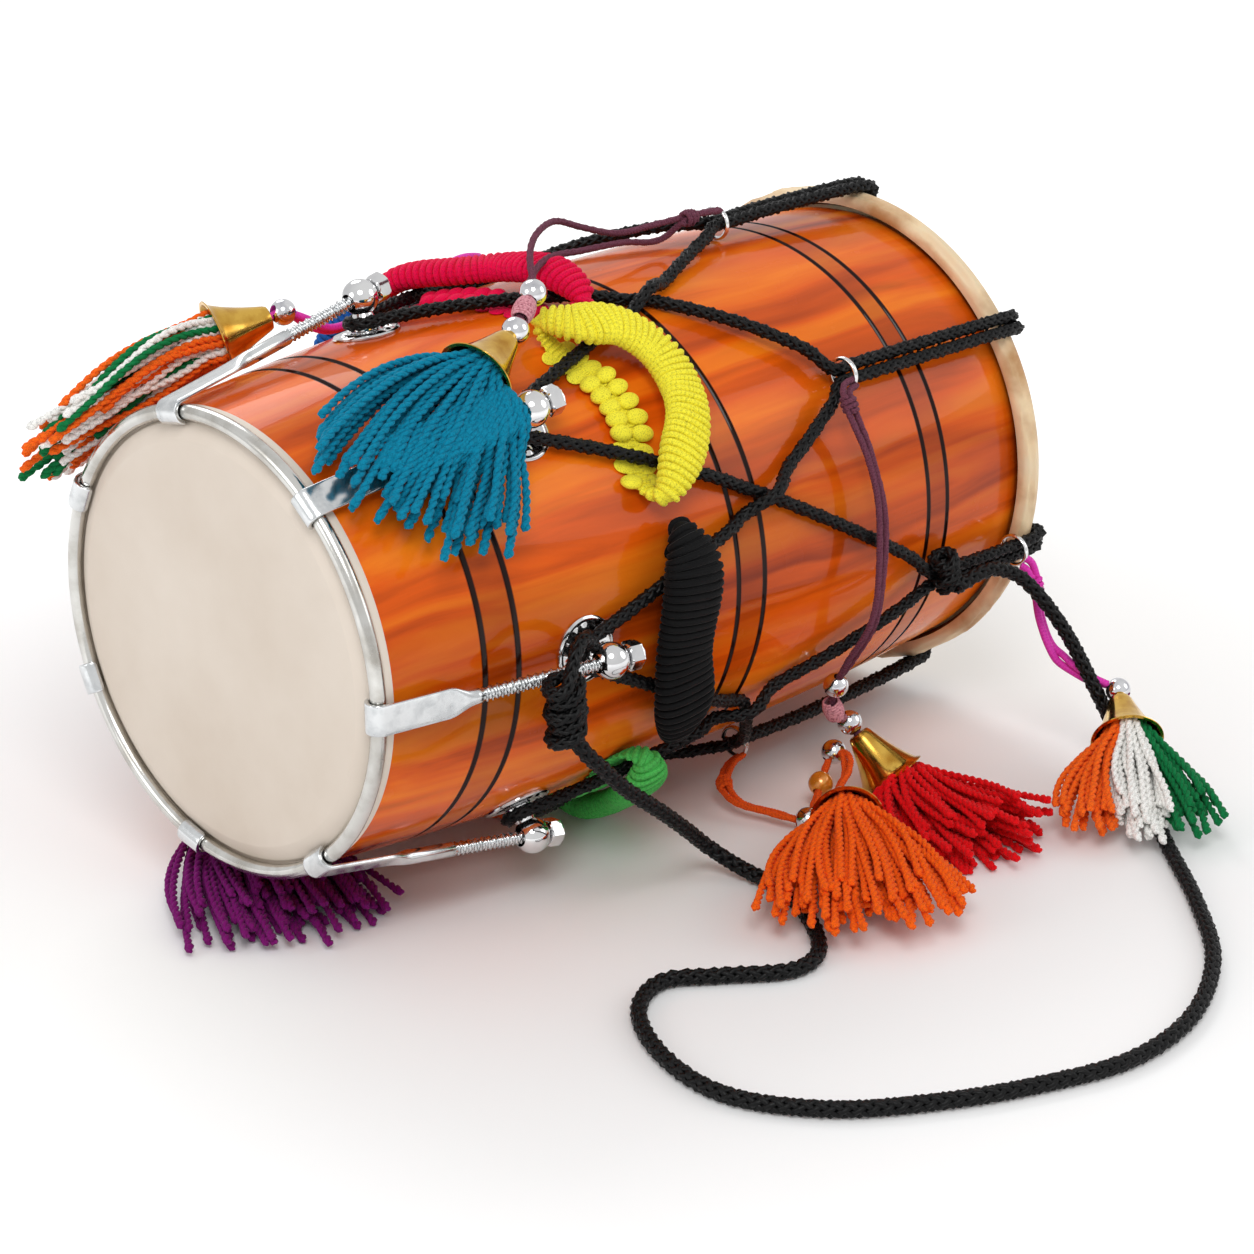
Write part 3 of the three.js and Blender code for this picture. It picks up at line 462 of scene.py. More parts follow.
@dataclass
class Strands:
    """How strands lie along a path, in millimetres."""

    strands: int = 2
    lay: float = 1.0
    radius: float = 1.0
    pitch: float = 10.0
    crossing: float = 0.0
    opposed: bool = False
    step: float = 2.0
    sides: int = 6

    def lay_along(self, name: str, paths: list[Path], material: bpy.types.Material, looped: bool = False,
                  sizes: list | None = None) -> bpy.types.Object:
        """Lays the strands along each path and returns them as one plain mesh.

        Args:
            name: the piece's name.
            paths: the paths, in millimetres in the drum's frame.
            material: what the strands are made of.
            looped: whether each path closes.
            sizes: for each path, the strand's size at each point, where 1 is its full radius.

        Returns:
            The finished object.
        """
        curve = bpy.data.curves.new(name + "_path", "CURVE")
        curve.dimensions = "3D"
        for number, path in enumerate(paths):
            spline = curve.splines.new("POLY")
            spline.points.add(len(path) - 1)
            for i, place in enumerate(path):
                spline.points[i].co = (*Place.metres(place), 1.0)
                spline.points[i].radius = sizes[number][i] if sizes else 1.0
            spline.use_cyclic_u = looped
        carrier = bpy.data.objects.new(name + "_path", curve)
        bpy.context.scene.collection.objects.link(carrier)
        modifier = carrier.modifiers.new("strands", "NODES")
        modifier.node_group = StrandTree.get()
        pitch = self.pitch
        if looped:
            length = path_length(paths[0] + [paths[0][0]])
            pitch = length / max(1, round(length / pitch))
        values = {"Strands": self.strands, "Lay Radius": self.lay / 1000, "Strand Radius": self.radius / 1000,
                  "Pitch": pitch / 1000, "Crossing": self.crossing / 1000, "Opposed": float(self.opposed),
                  "Step": self.step / 1000, "Sides": self.sides, "Material": material}
        for key, value in values.items():
            modifier[StrandTree.sockets[key]] = value
        depsgraph = bpy.context.evaluated_depsgraph_get()
        evaluated = carrier.evaluated_get(depsgraph)
        mesh = bpy.data.meshes.new_from_object(evaluated, preserve_all_data_layers=True, depsgraph=depsgraph)
        mesh.name = name
        carrier.modifiers.remove(modifier)
        bpy.data.objects.remove(carrier)
        bpy.data.curves.remove(curve)
        piece = bpy.data.objects.new(name, mesh)
        bpy.context.scene.collection.objects.link(piece)
        face_outwards(mesh)
        if not mesh.materials:
            mesh.materials.append(material)
        return piece


# Shared shader groups


class Shaders:
    """Shader node groups that several finishes use, each built once."""

    @staticmethod
    def start(name: str, inputs: tuple, outputs: tuple) -> tuple:
        """Begins a group with float inputs and outputs.

        Args:
            name: the group's name.
            inputs: names of its inputs.
            outputs: names of its outputs.

        Returns:
            The tree, what it is given and what it makes.
        """
        group = bpy.data.node_groups.new(name, "ShaderNodeTree")
        for keys, way in ((inputs, "INPUT"), (outputs, "OUTPUT")):
            for key in keys:
                group.interface.new_socket(key, in_out=way, socket_type="NodeSocketFloat")
        t = Tree(group)
        return t, t.add("NodeGroupInput").outputs, t.add("NodeGroupOutput").inputs

    @staticmethod
    @cache
    def mottle() -> bpy.types.NodeTree:
        """Soft uneven patches: a noise brought between 0 and 1, and the same as a height."""
        t, given, made = Shaders.start("mottle", ("Scale", "Low", "High"), ("Mask", "Height"))
        noise = t.noise(t.where(), given["Scale"], 5.0).outputs[0]
        span = t.add("ShaderNodeMapRange",
                     {"Value": noise, "From Min": given["Low"], "From Max": given["High"]})
        t.join(made["Mask"], span.outputs[0])
        t.join(made["Height"], noise)
        return t.tree

    @staticmethod
    @cache
    def grain() -> bpy.types.NodeTree:
        """Wood grain along +X: fine streaks, a broad wavy figure and pores."""
        t, given, made = Shaders.start("grain", ("Fineness", "Wander"), ("Streaks", "Figure", "Pores"))
        where = t.where()
        drift = t.noise(where, 3.5, 3.0).outputs["Color"]
        bend = t.add("ShaderNodeVectorMath", {0: drift, 1: (0.03, 0.03, 0.03), 2: where},
                     operation="MULTIPLY_ADD")
        for output, stretch, size, detail in (("Streaks", 0.045, given["Fineness"], 6.0),
                                              ("Figure", 0.1, 12.0, 4.0), ("Pores", 0.035, 320.0, 2.0)):
            longer = t.add("ShaderNodeMapping", {"Scale": (stretch, 1.0, 1.0), "Vector": bend.outputs[0]})
            t.join(made[output], t.noise(longer.outputs[0], size, detail, given["Wander"]).outputs[0])
        return t.tree

    @staticmethod
    @cache
    def fibre() -> bpy.types.NodeTree:
        """Filaments of a twisted strand: fine ridges that lean across the run stored in "along"."""
        t, given, made = Shaders.start("fibre", ("Lines", "Hair"), ("Height", "Shade"))
        where = t.where()
        hair = t.noise(where, given["Hair"], 3.0).outputs[0]
        run = t.add("ShaderNodeAttribute", attribute_name="along").outputs["Fac"]
        wave = t.maths("SINE", t.maths("MULTIPLY_ADD", run, given["Lines"], hair))
        t.join(made["Height"], t.maths("MULTIPLY_ADD", wave, 0.05, hair))
        t.join(made["Shade"], t.noise(where, 45.0).outputs[0])
        return t.tree


LOOK = "look_"


class Recipe(Tree):
    """A material in the making, with one Principled shader."""

    def __init__(self, name: str) -> None:
        """Starts the node material."""
        self.material = bpy.data.materials.new(LOOK + name)
        self.material.use_nodes = True
        super().__init__(self.material.node_tree)
        self.shader = self.nodes["Principled BSDF"]

    def set(self, **values: object) -> None:
        """Sets or joins the shader's own sockets, with underscores for spaces."""
        for key, value in values.items():
            self.join(self.shader.inputs[key.replace("_", " ")], value)

    def group(self, tree: bpy.types.NodeTree, **values: float) -> bpy.types.NodeOutputs:
        """What a shared group makes of its own values."""
        return self.add("ShaderNodeGroup", values, node_tree=tree).outputs

    def mottle(self, scale: float, low: float, high: float) -> bpy.types.NodeOutputs:
        """Patches of a scale, from no mask at the low value of the noise to a full one at the high value."""
        return self.group(Shaders.mottle(), Scale=scale, Low=low, High=high)

    def ramp(self, source: bpy.types.NodeSocket, stops: list) -> bpy.types.NodeSocket:
        """A colour ramp over a value.

        Args:
            source: the value.
            stops: pairs of place and colour.

        Returns:
            The ramp's colour.
        """
        node = self.add("ShaderNodeValToRGB", {0: source})
        while len(node.color_ramp.elements) < len(stops):
            node.color_ramp.elements.new(1.0)
        for element, (place, colour) in zip(node.color_ramp.elements, stops):
            element.position = place
            element.color = (*linear(colour), 1.0)
        return node.outputs[0]

    def mix(self, mask: object, low: object, high: object) -> bpy.types.NodeSocket:
        """A colour between two, by a mask."""
        low, high = (value if isinstance(value, bpy.types.NodeSocket) else (*linear(value), 1.0)
                     for value in (low, high))
        return self.add("ShaderNodeMix", {0: mask, 6: low, 7: high}, data_type="RGBA").outputs[2]

    def span(self, source: bpy.types.NodeSocket, low: float, high: float) -> bpy.types.NodeSocket:
        """A value spread from a low to a high number."""
        return self.add("ShaderNodeMapRange", {"Value": source, "To Min": low, "To Max": high}).outputs[0]

    def attribute(self, name: str) -> bpy.types.NodeSocket:
        """A value stored on the mesh."""
        return self.add("ShaderNodeAttribute", attribute_name=name).outputs["Fac"]

    def bump(self, height: bpy.types.NodeSocket, depth: float, strength: float) -> None:
        """Bumps the shader's normal by a height, in metres deep."""
        bumped = self.add("ShaderNodeBump", {"Distance": depth, "Strength": strength, "Height": height})
        self.set(Normal=bumped.outputs[0])


def linear(colour: Point) -> Point:
    """A colour as it is seen, as the linear values that shaders take."""
    return tuple(c / 12.92 if c <= 0.04045 else ((c + 0.055) / 1.055) ** 2.4 for c in colour)


def rgb(red: int, green: int, blue: int) -> Point:
    """A colour from 0 to 255 each."""
    return (red / 255, green / 255, blue / 255)


# Finishes


class Finish:
    """A finish, whose material is painted when it is first used."""

    name: str

    def build(self) -> bpy.types.Material:
        """The finished material."""
        recipe = Recipe(self.name)
        self.paint(recipe)
        return recipe.material

    def paint(self, m: Recipe) -> None:
        """Joins the material's nodes."""
        raise NotImplementedError


@dataclass(frozen=True)
class VarnishedWood(Finish):
    """Streaky orange-brown wood under a thick gloss varnish, dark in its turned grooves."""

    name: str = "varnished_wood"
    pale: Point = rgb(252, 138, 26)
    middle: Point = rgb(228, 92, 10)
    dark: Point = rgb(124, 34, 3)
    groove: Point = rgb(34, 12, 6)
    chip: Point = rgb(244, 196, 128)

    def paint(self, m: Recipe) -> None:
        """Streaks and figure half and half, then a few chips, then the grooves."""
        grain = m.group(Shaders.grain(), Fineness=38.0, Wander=0.6)
        streaks = m.ramp(grain["Streaks"], [(0.3, self.dark), (0.46, self.middle), (0.62, self.pale)])
        figure = m.ramp(grain["Figure"], [(0.32, self.dark), (0.5, self.middle), (0.68, self.pale)])
        whole = m.mix(m.mottle(42.0, 0.765, 0.775)["Mask"], m.mix(0.5, streaks, figure), self.chip)
        m.set(Base_Color=m.mix(m.attribute("groove"), whole, self.groove),
              Roughness=m.span(m.mottle(22.0, 0.4, 0.75)["Mask"], 0.2, 0.32),
              Coat_Weight=0.3, Coat_Roughness=0.03, IOR=1.5, Specular_IOR_Level=0.05)
        m.bump(grain["Pores"], 0.00035, 0.35)


@dataclass(frozen=True)
class CoatedSkin(Finish):
    """The bass head's coated plastic skin: matt cream with a faint tooth and handling marks."""

    name: str = "cream_skin"
    pale: Point = rgb(229, 217, 204)
    worn: Point = rgb(214, 199, 183)

    def paint(self, m: Recipe) -> None:
        """Worn patches under a fine tooth."""
        tooth = m.mottle(900.0, 0.3, 0.7)
        m.set(Base_Color=m.mix(m.mottle(9.0, 0.3, 0.75)["Mask"], self.pale, self.worn),
              Roughness=m.span(tooth["Mask"], 0.5, 0.68))
        m.bump(tooth["Height"], 0.0002, 0.3)


@dataclass(frozen=True)
class Goatskin(Finish):
    """Dry untanned skin: beige and cloudy, with fine pores."""

    name: str = "goatskin"
    pale: Point = rgb(238, 212, 172)
    dark: Point = rgb(186, 138, 88)
    light: Point = rgb(236, 218, 186)

    def paint(self, m: Recipe) -> None:
        """Clouds of colour under fine pores."""
        cloud, pores = m.mottle(14.0, 0.34, 0.66), m.mottle(420.0, 0.35, 0.65)
        m.set(Base_Color=m.ramp(cloud["Mask"], [(0.1, self.dark), (0.55, self.pale), (1.0, self.light)]),
              Roughness=m.span(pores["Mask"], 0.42, 0.62),
              Subsurface_Weight=0.08, Subsurface_Radius=(0.004, 0.002, 0.001))
        m.bump(pores["Height"], 0.0004, 0.4)


@dataclass(frozen=True)
class Metal(Finish):
    """A bare or plated metal with uneven polish."""

    name: str
    colour: Point
    tarnish: Point
    low: float
    high: float
    patches: float
    scratch: float

    def paint(self, m: Recipe) -> None:
        """Tarnish in patches, and scratches twelve times as fine."""
        patch = m.mottle(self.patches, 0.42, 0.72)["Mask"]
        m.set(Metallic=1.0, Base_Color=m.mix(patch, self.colour, self.tarnish),
              Roughness=m.span(patch, self.low, self.high))
        m.bump(m.mottle(self.patches * 12, 0.3, 0.7)["Height"], 0.00012, self.scratch)


@dataclass(frozen=True)
class Fibre(Finish):
    """Yarn, cord or rope: filaments with painted shade where they lie low, and a soft sheen."""

    name: str
    colour: Point
    # The second colour is painted shade: the colour of the low places between the filaments.
    shade: Point
    lines: float
    hair: float
    depth: float = 0.0004
    sheen: float = 0.05
    roughness: float = 0.85
    gloss: float = 0.15

    def paint(self, m: Recipe) -> None:
        """Painted shade where the filaments' height is low, a bump of the same height, and a roughness that
        wanders.
        """
        fibre = m.group(Shaders.fibre(), Lines=self.lines, Hair=self.hair)
        # The ramp paints shade: the second colour goes where the height, which is also the bump, is low.
        m.set(Base_Color=m.ramp(fibre["Height"], [(0.3, self.shade), (0.55, self.colour)]),
              Roughness=m.span(fibre["Shade"], self.roughness - 0.15, self.roughness + 0.1),
              Sheen_Weight=self.sheen, Sheen_Roughness=0.4, Specular_IOR_Level=self.gloss)
        m.bump(fibre["Height"], self.depth, 0.6)


@dataclass(frozen=True)
class Pearl(Finish):
    """A lacquered bead with a soft shine under the gloss."""

    name: str
    colour: Point
    edge: Point

    def paint(self, m: Recipe) -> None:
        """Two close colours under a clear coat."""
        patch = m.mottle(160.0, 0.3, 0.7)["Mask"]
        m.set(Base_Color=m.mix(patch, self.colour, self.edge), Roughness=m.span(patch, 0.16, 0.3),
              Metallic=0.35, Coat_Weight=0.9, Coat_Roughness=0.04)


def yarn(name: str, red: int, green: int, blue: int, sleeve: bool = False) -> Fibre:
    """Dyed yarn, whose painted valley shade is its own colour, darker."""
    colour = rgb(red, green, blue)
    # The darker copy is painted shade for the low places between the filaments.
    return Fibre(name, colour, tuple(0.8 * c for c in colour), lines=2200.0 if sleeve else 1800.0,
                 hair=1100.0, depth=0.0005, sheen=0.06)


class Stuff(Enum):
    """Every finish on the drum."""

    WOOD = VarnishedWood()
    CREAM = CoatedSkin()
    GOATSKIN = Goatskin()
    # The hoop's own brown wood, darkened further as painted shade for the gap under the goatskin lap.
    HOOP_WOOD = VarnishedWood("hoop_wood", rgb(104, 66, 38), rgb(80, 48, 26), rgb(56, 32, 18))
    PIPE = Metal("hoop_steel", rgb(214, 213, 209), rgb(176, 172, 164), 0.16, 0.3, 45.0, 0.2)
    ZINC = Metal("galvanised_steel", rgb(222, 224, 225), rgb(192, 195, 197), 0.16, 0.3, 110.0, 0.2)
    CHROME = Metal("chrome_steel", rgb(232, 232, 232), rgb(206, 206, 208), 0.05, 0.12, 40.0, 0.05)
    PLATE = Metal("pressed_chrome", rgb(222, 222, 222), rgb(176, 176, 178), 0.08, 0.22, 120.0, 0.15)
    BRASS = Metal("brass", rgb(226, 182, 84), rgb(186, 134, 48), 0.12, 0.26, 70.0, 0.15)
    SILVER_BEAD = Metal("silver_bead", rgb(228, 228, 230), rgb(190, 190, 196), 0.06, 0.14, 120.0, 0.05)
    GOLD_BEAD = Pearl("gold_bead", rgb(236, 160, 52), rgb(214, 120, 30))
    # Each fibre's second colour is painted shade for the low places between its filaments.
    BLACK_ROPE = Fibre("black_rope", rgb(8, 8, 9), rgb(3, 3, 4), 2400.0, 1200.0, 0.0003, 0.0, 0.42, 0.2)
    PINK_BEAD = Fibre("pink_thread", rgb(222, 158, 168), rgb(168, 96, 110), 3000.0, 600.0, 0.0003)
    PLUM_CORD = Fibre("plum_cord", rgb(118, 66, 84), rgb(70, 34, 48), 2600.0, 1400.0)
    ORANGE_CORD = Fibre("orange_cord", rgb(240, 92, 24), rgb(176, 54, 12), 2600.0, 1400.0)
    MAGENTA_CORD = Fibre("magenta_cord", rgb(232, 66, 186), rgb(206, 40, 160), 2600.0, 1400.0, 0.0001, 0.02,
                         0.45)
    PINK_YARN = yarn("pink_sleeve_yarn", 240, 4, 74, True)
    YELLOW_YARN = yarn("yellow_sleeve_yarn", 255, 244, 66, True)
    BLACK_YARN = yarn("black_sleeve_yarn", 10, 10, 11, True)
    GREEN_YARN = yarn("green_sleeve_yarn", 84, 196, 92, True)
    RUST_YARN = yarn("orange_sleeve_yarn", 222, 90, 34, True)
    VIOLET_YARN = yarn("purple_sleeve_yarn", 124, 30, 136, True)
    NAVY_YARN = yarn("blue_sleeve_yarn", 28, 98, 182, True)
    BLUE_TUFT = yarn("blue_yarn", 2, 132, 166)
    RED_TUFT = yarn("red_yarn", 238, 12, 22)
    ORANGE_TUFT = yarn("orange_yarn", 255, 102, 14)
    PURPLE_TUFT = yarn("purple_yarn", 122, 14, 106)
    GREEN_TUFT = yarn("green_yarn", 10, 122, 66)
    WHITE_TUFT = yarn("white_yarn", 255, 254, 250)
    SAFFRON_TUFT = yarn("saffron_yarn", 255, 108, 26)

    def __init__(self, finish: object) -> None:
        """Keeps the finish that the option stands for."""
        self.finish = finish

    @property
    def slot(self) -> str:
        """The record's material slot of this finish."""
        return self.finish.name

    def material(self) -> bpy.types.Material:
        """The finish's material, built once."""
        made = bpy.data.materials.get(LOOK + self.finish.name)
        return made or self.finish.build()


def settle(piece: bpy.types.Object, body: str, slot: str, *nodes: str) -> bpy.types.Object:
    """Sets a piece on its body and hides the CAD nodes that it stands for.

    Args:
        piece: the piece.
        body: the body that it rides on.
        slot: the record's material slot; not used.
        nodes: the CAD nodes that it replaces.

    Returns:
        The piece.
    """
    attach(piece, body)
    if nodes:
        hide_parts(*nodes)
    log.info("%s: %d faces on %s", piece.name, len(piece.data.polygons), body)
    return piece


# Camera, floor and light


@dataclass
class Studio:
    """The photograph's camera, a pale floor and soft lamps."""

    camera_place: Point = (-1100.1, -1435.2, 753.6)
    yaw: float = 45.573
    pitch: float = -22.504
    focal_px: float = 3101.84
    frame_px: float = 1254.0
    floor_reach: float = 14.0
    floor_grey: float = 0.93
    white: float = 0.34
    white_span: tuple = (0.15, 1.2)
    sky: float = 0.52
    aim: Point = (0.0, 0.0, 0.15)
    lamps: tuple = (
        ("key", (-1.6, -1.7, 2.7), 1.6, 42.0),
        ("fill", (2.4, -2.2, 1.7), 2.2, 16.0),
        ("back", (0.9, 2.4, 2.6), 1.8, 28.0),
        ("side", (-2.9, 0.6, 1.4), 1.6, 12.0),
    )

    def camera(self) -> None:
        """Sets the photograph's camera."""
        yaw, pitch = math.radians(self.yaw), math.radians(self.pitch)
        ahead = Vector((math.cos(pitch) * math.sin(yaw), math.cos(pitch) * math.cos(yaw), math.sin(pitch)))
        right = Vector((math.cos(yaw), -math.sin(yaw), 0.0))
        up = right.cross(ahead)
        lens = bpy.data.cameras.new("photo_camera")
        lens.sensor_width = 36.0
        lens.lens = self.focal_px / self.frame_px * lens.sensor_width
        camera = bpy.data.objects.new("photo_camera", lens)
        turn = Matrix((right, up, -ahead)).transposed().to_4x4()
        camera.matrix_world = Matrix.Translation(Place.metres(Vector(self.camera_place))) @ turn
        bpy.context.scene.collection.objects.link(camera)
        bpy.context.scene.camera = camera

    @staticmethod
    def seen(t: Tree) -> bpy.types.NodeSocket:
        """A value of 1 for rays that show the surroundings: to the camera, in a gloss or through glass."""
        path = t.add("ShaderNodeLightPath").outputs
        value = path["Is Camera Ray"]
        for name in ("Is Glossy Ray", "Is Transmission Ray"):
            value = t.maths("MAXIMUM", value, path[name])
        return value

    def floor(self) -> None:
        """Lays the pale floor, which whitens away from the drum and keeps the drum's shadow."""
        reach = self.floor_reach
        corners = [(-reach, -reach, 0), (reach, -reach, 0), (reach, reach, 0), (-reach, reach, 0)]
        mesh = bpy.data.meshes.new("floor")
        mesh.from_pydata(corners, [], [(0, 1, 2, 3)])
        floor = bpy.data.objects.new("floor", mesh)
        bpy.context.scene.collection.objects.link(floor)
        m = Recipe("floor")
        away = m.add("ShaderNodeVectorMath", {0: m.where()}, operation="LENGTH").outputs["Value"]
        near, far = self.white_span
        white = m.add("ShaderNodeMapRange",
                      {"Value": away, "From Min": near, "From Max": far, "To Max": self.white},
                      interpolation_type="SMOOTHSTEP").outputs[0]
        m.set(Base_Color=(self.floor_grey, self.floor_grey, self.floor_grey, 1.0), Roughness=0.7,
              Emission_Color=(1.0, 1.0, 1.0, 1.0), Emission_Strength=m.maths("MULTIPLY", white, self.seen(m)))
        mesh.materials.append(m.material)

    def light(self) -> None:
        """Sets the lamps and the world."""
        for name, place, size, power in self.lamps:
            lamp = bpy.data.lights.new(name, "AREA")
            lamp.shape, lamp.size, lamp.energy = "DISK", size, power
            holder = bpy.data.objects.new(name, lamp)
            turn = (Vector(self.aim) - Vector(place)).to_track_quat("-Z", "Y").to_matrix().to_4x4()
            holder.matrix_world = Matrix.Translation(Vector(place)) @ turn
            bpy.context.scene.collection.objects.link(holder)
        world = bpy.data.worlds.new("studio")
        world.use_nodes = True
        t = Tree(world.node_tree)
        sky = t.nodes["Background"]
        sky.inputs["Color"].default_value = (1.0, 1.0, 1.0, 1.0)
        sky.inputs["Strength"].default_value = self.sky
        white = t.add("ShaderNodeBackground", {"Strength": 1.0})
        mix = t.add("ShaderNodeMixShader", {0: self.seen(t), 1: sky.outputs[0], 2: white.outputs[0]})
        t.join(t.nodes["World Output"].inputs["Surface"], mix.outputs[0])
        bpy.context.scene.world = world
        bpy.context.scene.view_settings.view_transform = "Standard"


# Pieces


def round_ring(x: float, radius: float, section: float, steps: int) -> list:
    """Profile of a ring of round section."""
    return [(x + section * math.cos(a), radius + section * math.sin(a))
            for a in np.linspace(0, math.tau, steps, endpoint=False)]


def rows(path: Path) -> np.ndarray:
    """A path's places as rows."""
    return np.array([tuple(place) for place in path])


def wind(centre: Vector, along: Vector, turns: float, steps: int, lie: Callable) -> Path:
    """Turns wound round a direction.

    Args:
        centre: the middle of the turns.
        along: the direction that they go round.
        turns: how many there are.
        steps: points in a turn.
        lie: for a share of the run and an angle, how far along the direction and how far off it the point is.

    Returns:
        The path.
    """
    side = along.orthogonal().normalized()
    up = along.cross(side)
    count = int(turns * steps)
    path = []
    for i in range(count + 1):
        a = math.tau * i / steps
        s, radius = lie(i / count, a)
        path.append(centre + along * s + (side * math.cos(a) + up * math.sin(a)) * radius)
    return path


def put(name: str, mesh: tuple, stuff: Stuff, body: str, *nodes: str, sharp: float = 40.0,
        slot: str | None = None) -> bpy.types.Object:
    """Makes a piece of one finish and settles it.

    Args:
        name: the piece's name.
        mesh: its vertices and faces.
        stuff: its finish.
        body: the body that it rides on.
        nodes: the CAD nodes that it replaces.
        sharp: edges sharper than this many degrees stay sharp.
        slot: the record's material slot, where it isn't the finish's own.

    Returns:
        The piece.
    """
    piece = make_object(name, *mesh, sharp)
    piece.data.materials.clear()
    piece.data.materials.append(stuff.material())
    return settle(piece, body, slot or stuff.slot, *nodes)


# Barrel and heads


@dataclass
class Shell:
    """The turned barrel, its front head and hoop, and its rear head and hoop."""

    sides: int = 140
    stations: int = 60
    groove_width: float = 3.6
    groove_depth: float = 1.8
    groove_shares: tuple = (0.134, 0.178, 0.496, 0.5375, 0.826, 0.862)
    band_stain: float = 0.28
    nose: tuple = ((-2.0, 131.0), (-2.0, 134.0), (3.0, 142.0), (10.8, 142.0))
    outside_from: float = 11.0
    back_radii: tuple = (163.0, 148.6)
    inside_stations: tuple = (450.0, 300.0, 158.0, 60.0)
    skin_profile: tuple = (
        (HEAD_FACE, 0), (HEAD_FACE, 120.0), (HEAD_FACE, 131.6), (-3.2, 133.2), (1.2, 142.4), (2.6, 143.6),
        (5.3, 144.6), (5.3, 151.4), (6.0, 152.0), (10.6, 152.0), (10.6, 142.3), (2.7, 142.3), (-2.3, 134.3),
        (-2.3, 0))
    flesh_radius: float = 173.2
    flesh_section: float = 5.5
    skin: float = 1.5
    rear_edge: float = 603.5
    rear_flat: tuple = (158.0, 80.0)
    lap_steps: int = 30
    lap_sweep: float = 200.0
    lap_facet: float = 28.75
    lap_ridge: float = 1.0
    lap_fray: float = 1.6
    lap_bulge: float = 1.3
    wave_counts: tuple = (5, 9, 14, 23, 37)

    @property
    def lap_inner(self) -> float:
        """Inside radius of the lap round the flesh hoop."""
        return (self.flesh_section + FIT_GAP) / math.cos(math.radians(self.lap_facet))

    @property
    def flesh_x(self) -> float:
        """Where the flesh hoop lies along the drum."""
        return self.rear_edge + FIT_GAP - self.lap_inner

    def barrel(self) -> None:
        """Builds the shell, with its grooves stored for the finish."""
        outside, depth = [], []
        grooves = [share * BARREL.length for share in self.groove_shares]
        stations = np.linspace(self.outside_from, BARREL.length, self.stations).tolist()
        half = self.groove_width / 2
        for x in grooves:
            stations = [s for s in stations if abs(s - x) > half + 1.2]
            stations += [x - half - 1.0, x - half, x - half * 0.6, x, x + half * 0.6, x + half,
                         x + half + 1.0]
        for x in sorted(stations):
            away = min(abs(x - groove) for groove in grooves) / half
            outside.append((x, BARREL.radius(x) - self.groove_depth * max(0.0, 1 - away**2)))
            between = any(a < x < b for a, b in zip(grooves[::2], grooves[1::2]))
            depth.append(1.0 if away < 1.05 else self.band_stain if between else 0.0)
        back = [(self.rear_edge, radius) for radius in self.back_radii]
        inside = [(x, BARREL.radius(x) - BARREL.wall) for x in self.inside_stations]
        mesh = turned([*self.nose, *outside, *back, *inside], self.sides)
        piece = put("barrel_shell", mesh, Stuff.WOOD, "drum", "shell", sharp=30.0)
        layer = piece.data.attributes.new("groove", "FLOAT", "POINT")
        marks = [0.0] * len(self.nose) + depth + [0.0] * (len(back) + len(inside))
        layer.data.foreach_set("value", np.repeat(np.array(marks), self.sides))

    def front(self) -> None:
        """Builds the cream head and the pipe hoop."""
        put("bass_head", turned(self.skin_profile, self.sides), Stuff.CREAM, "drum", "front_head")
        put("pipe_hoop", turned(round_ring(0.0, HOOP_RADIUS, HOOP_PIPE, 16), self.sides), Stuff.PIPE, "drum",
            "front_hoop")

    def rear(self) -> None:
        """Builds the goatskin head, lapped unevenly round its hoop, and the hoop."""
        rng = np.random.default_rng(5)
        outer, hooked = self.lap_inner + self.skin, self.flesh_radius
        sweep = [math.radians(self.lap_sweep * i / self.lap_steps) for i in range(self.lap_steps + 1)]
        inner_arc, outer_arc = (
            [(self.flesh_x + reach * math.cos(a), hooked + reach * math.sin(a)) for a in sweep]
            for reach in (self.lap_inner, outer))
        within, face, flat = self.flesh_x + self.lap_inner, self.flesh_x + outer, self.rear_flat
        verts, faces = turned([(within, 0), (within, flat[0]), *inner_arc, *outer_arc[::-1], (face, flat[0]),
                               (face, flat[1]), (face, 0)], self.sides)
        around = np.arctan2(verts[:, 1], verts[:, 2])
        waves = sum(rng.uniform(0.25, 0.6) * np.sin(n * around + rng.uniform(0, 6.3))
                    for n in self.wave_counts)
        r = np.hypot(verts[:, 1], verts[:, 2])
        share = np.clip((r - hooked) / outer, 0, 1) * np.clip((self.flesh_x + 3 - verts[:, 0]) / 6, 0, 1)
        verts[:, 0] -= np.maximum(0, waves + 0.6) * share * self.lap_fray
        turn = np.arctan2(r - hooked, self.flesh_x - verts[:, 0])
        ridges = (self.lap_ridge * np.sin(turn * 5 + waves * 2.6)
                  + self.lap_ridge * 0.6 * np.sin(turn * 9 - waves * 4))
        bulged = 1 + (np.clip(waves, -1.2, 1.2) * self.lap_bulge + ridges) * share / hooked
        verts[:, 1:] *= bulged[:, None]
        put("goat_head", (verts, faces), Stuff.GOATSKIN, "drum", "rear_head", sharp=60.0)
        # The flesh hoop's finish is dark wood with painted shade for the gap under the lap.
        put("flesh_hoop", turned(round_ring(self.flesh_x, hooked, self.flesh_section, 12), self.sides),
            Stuff.HOOP_WOOD, "drum", "rear_hoop")

    def build(self) -> None:
        """Builds every piece of the shell."""
        self.barrel()
        self.front()
        self.rear()


# Lugs


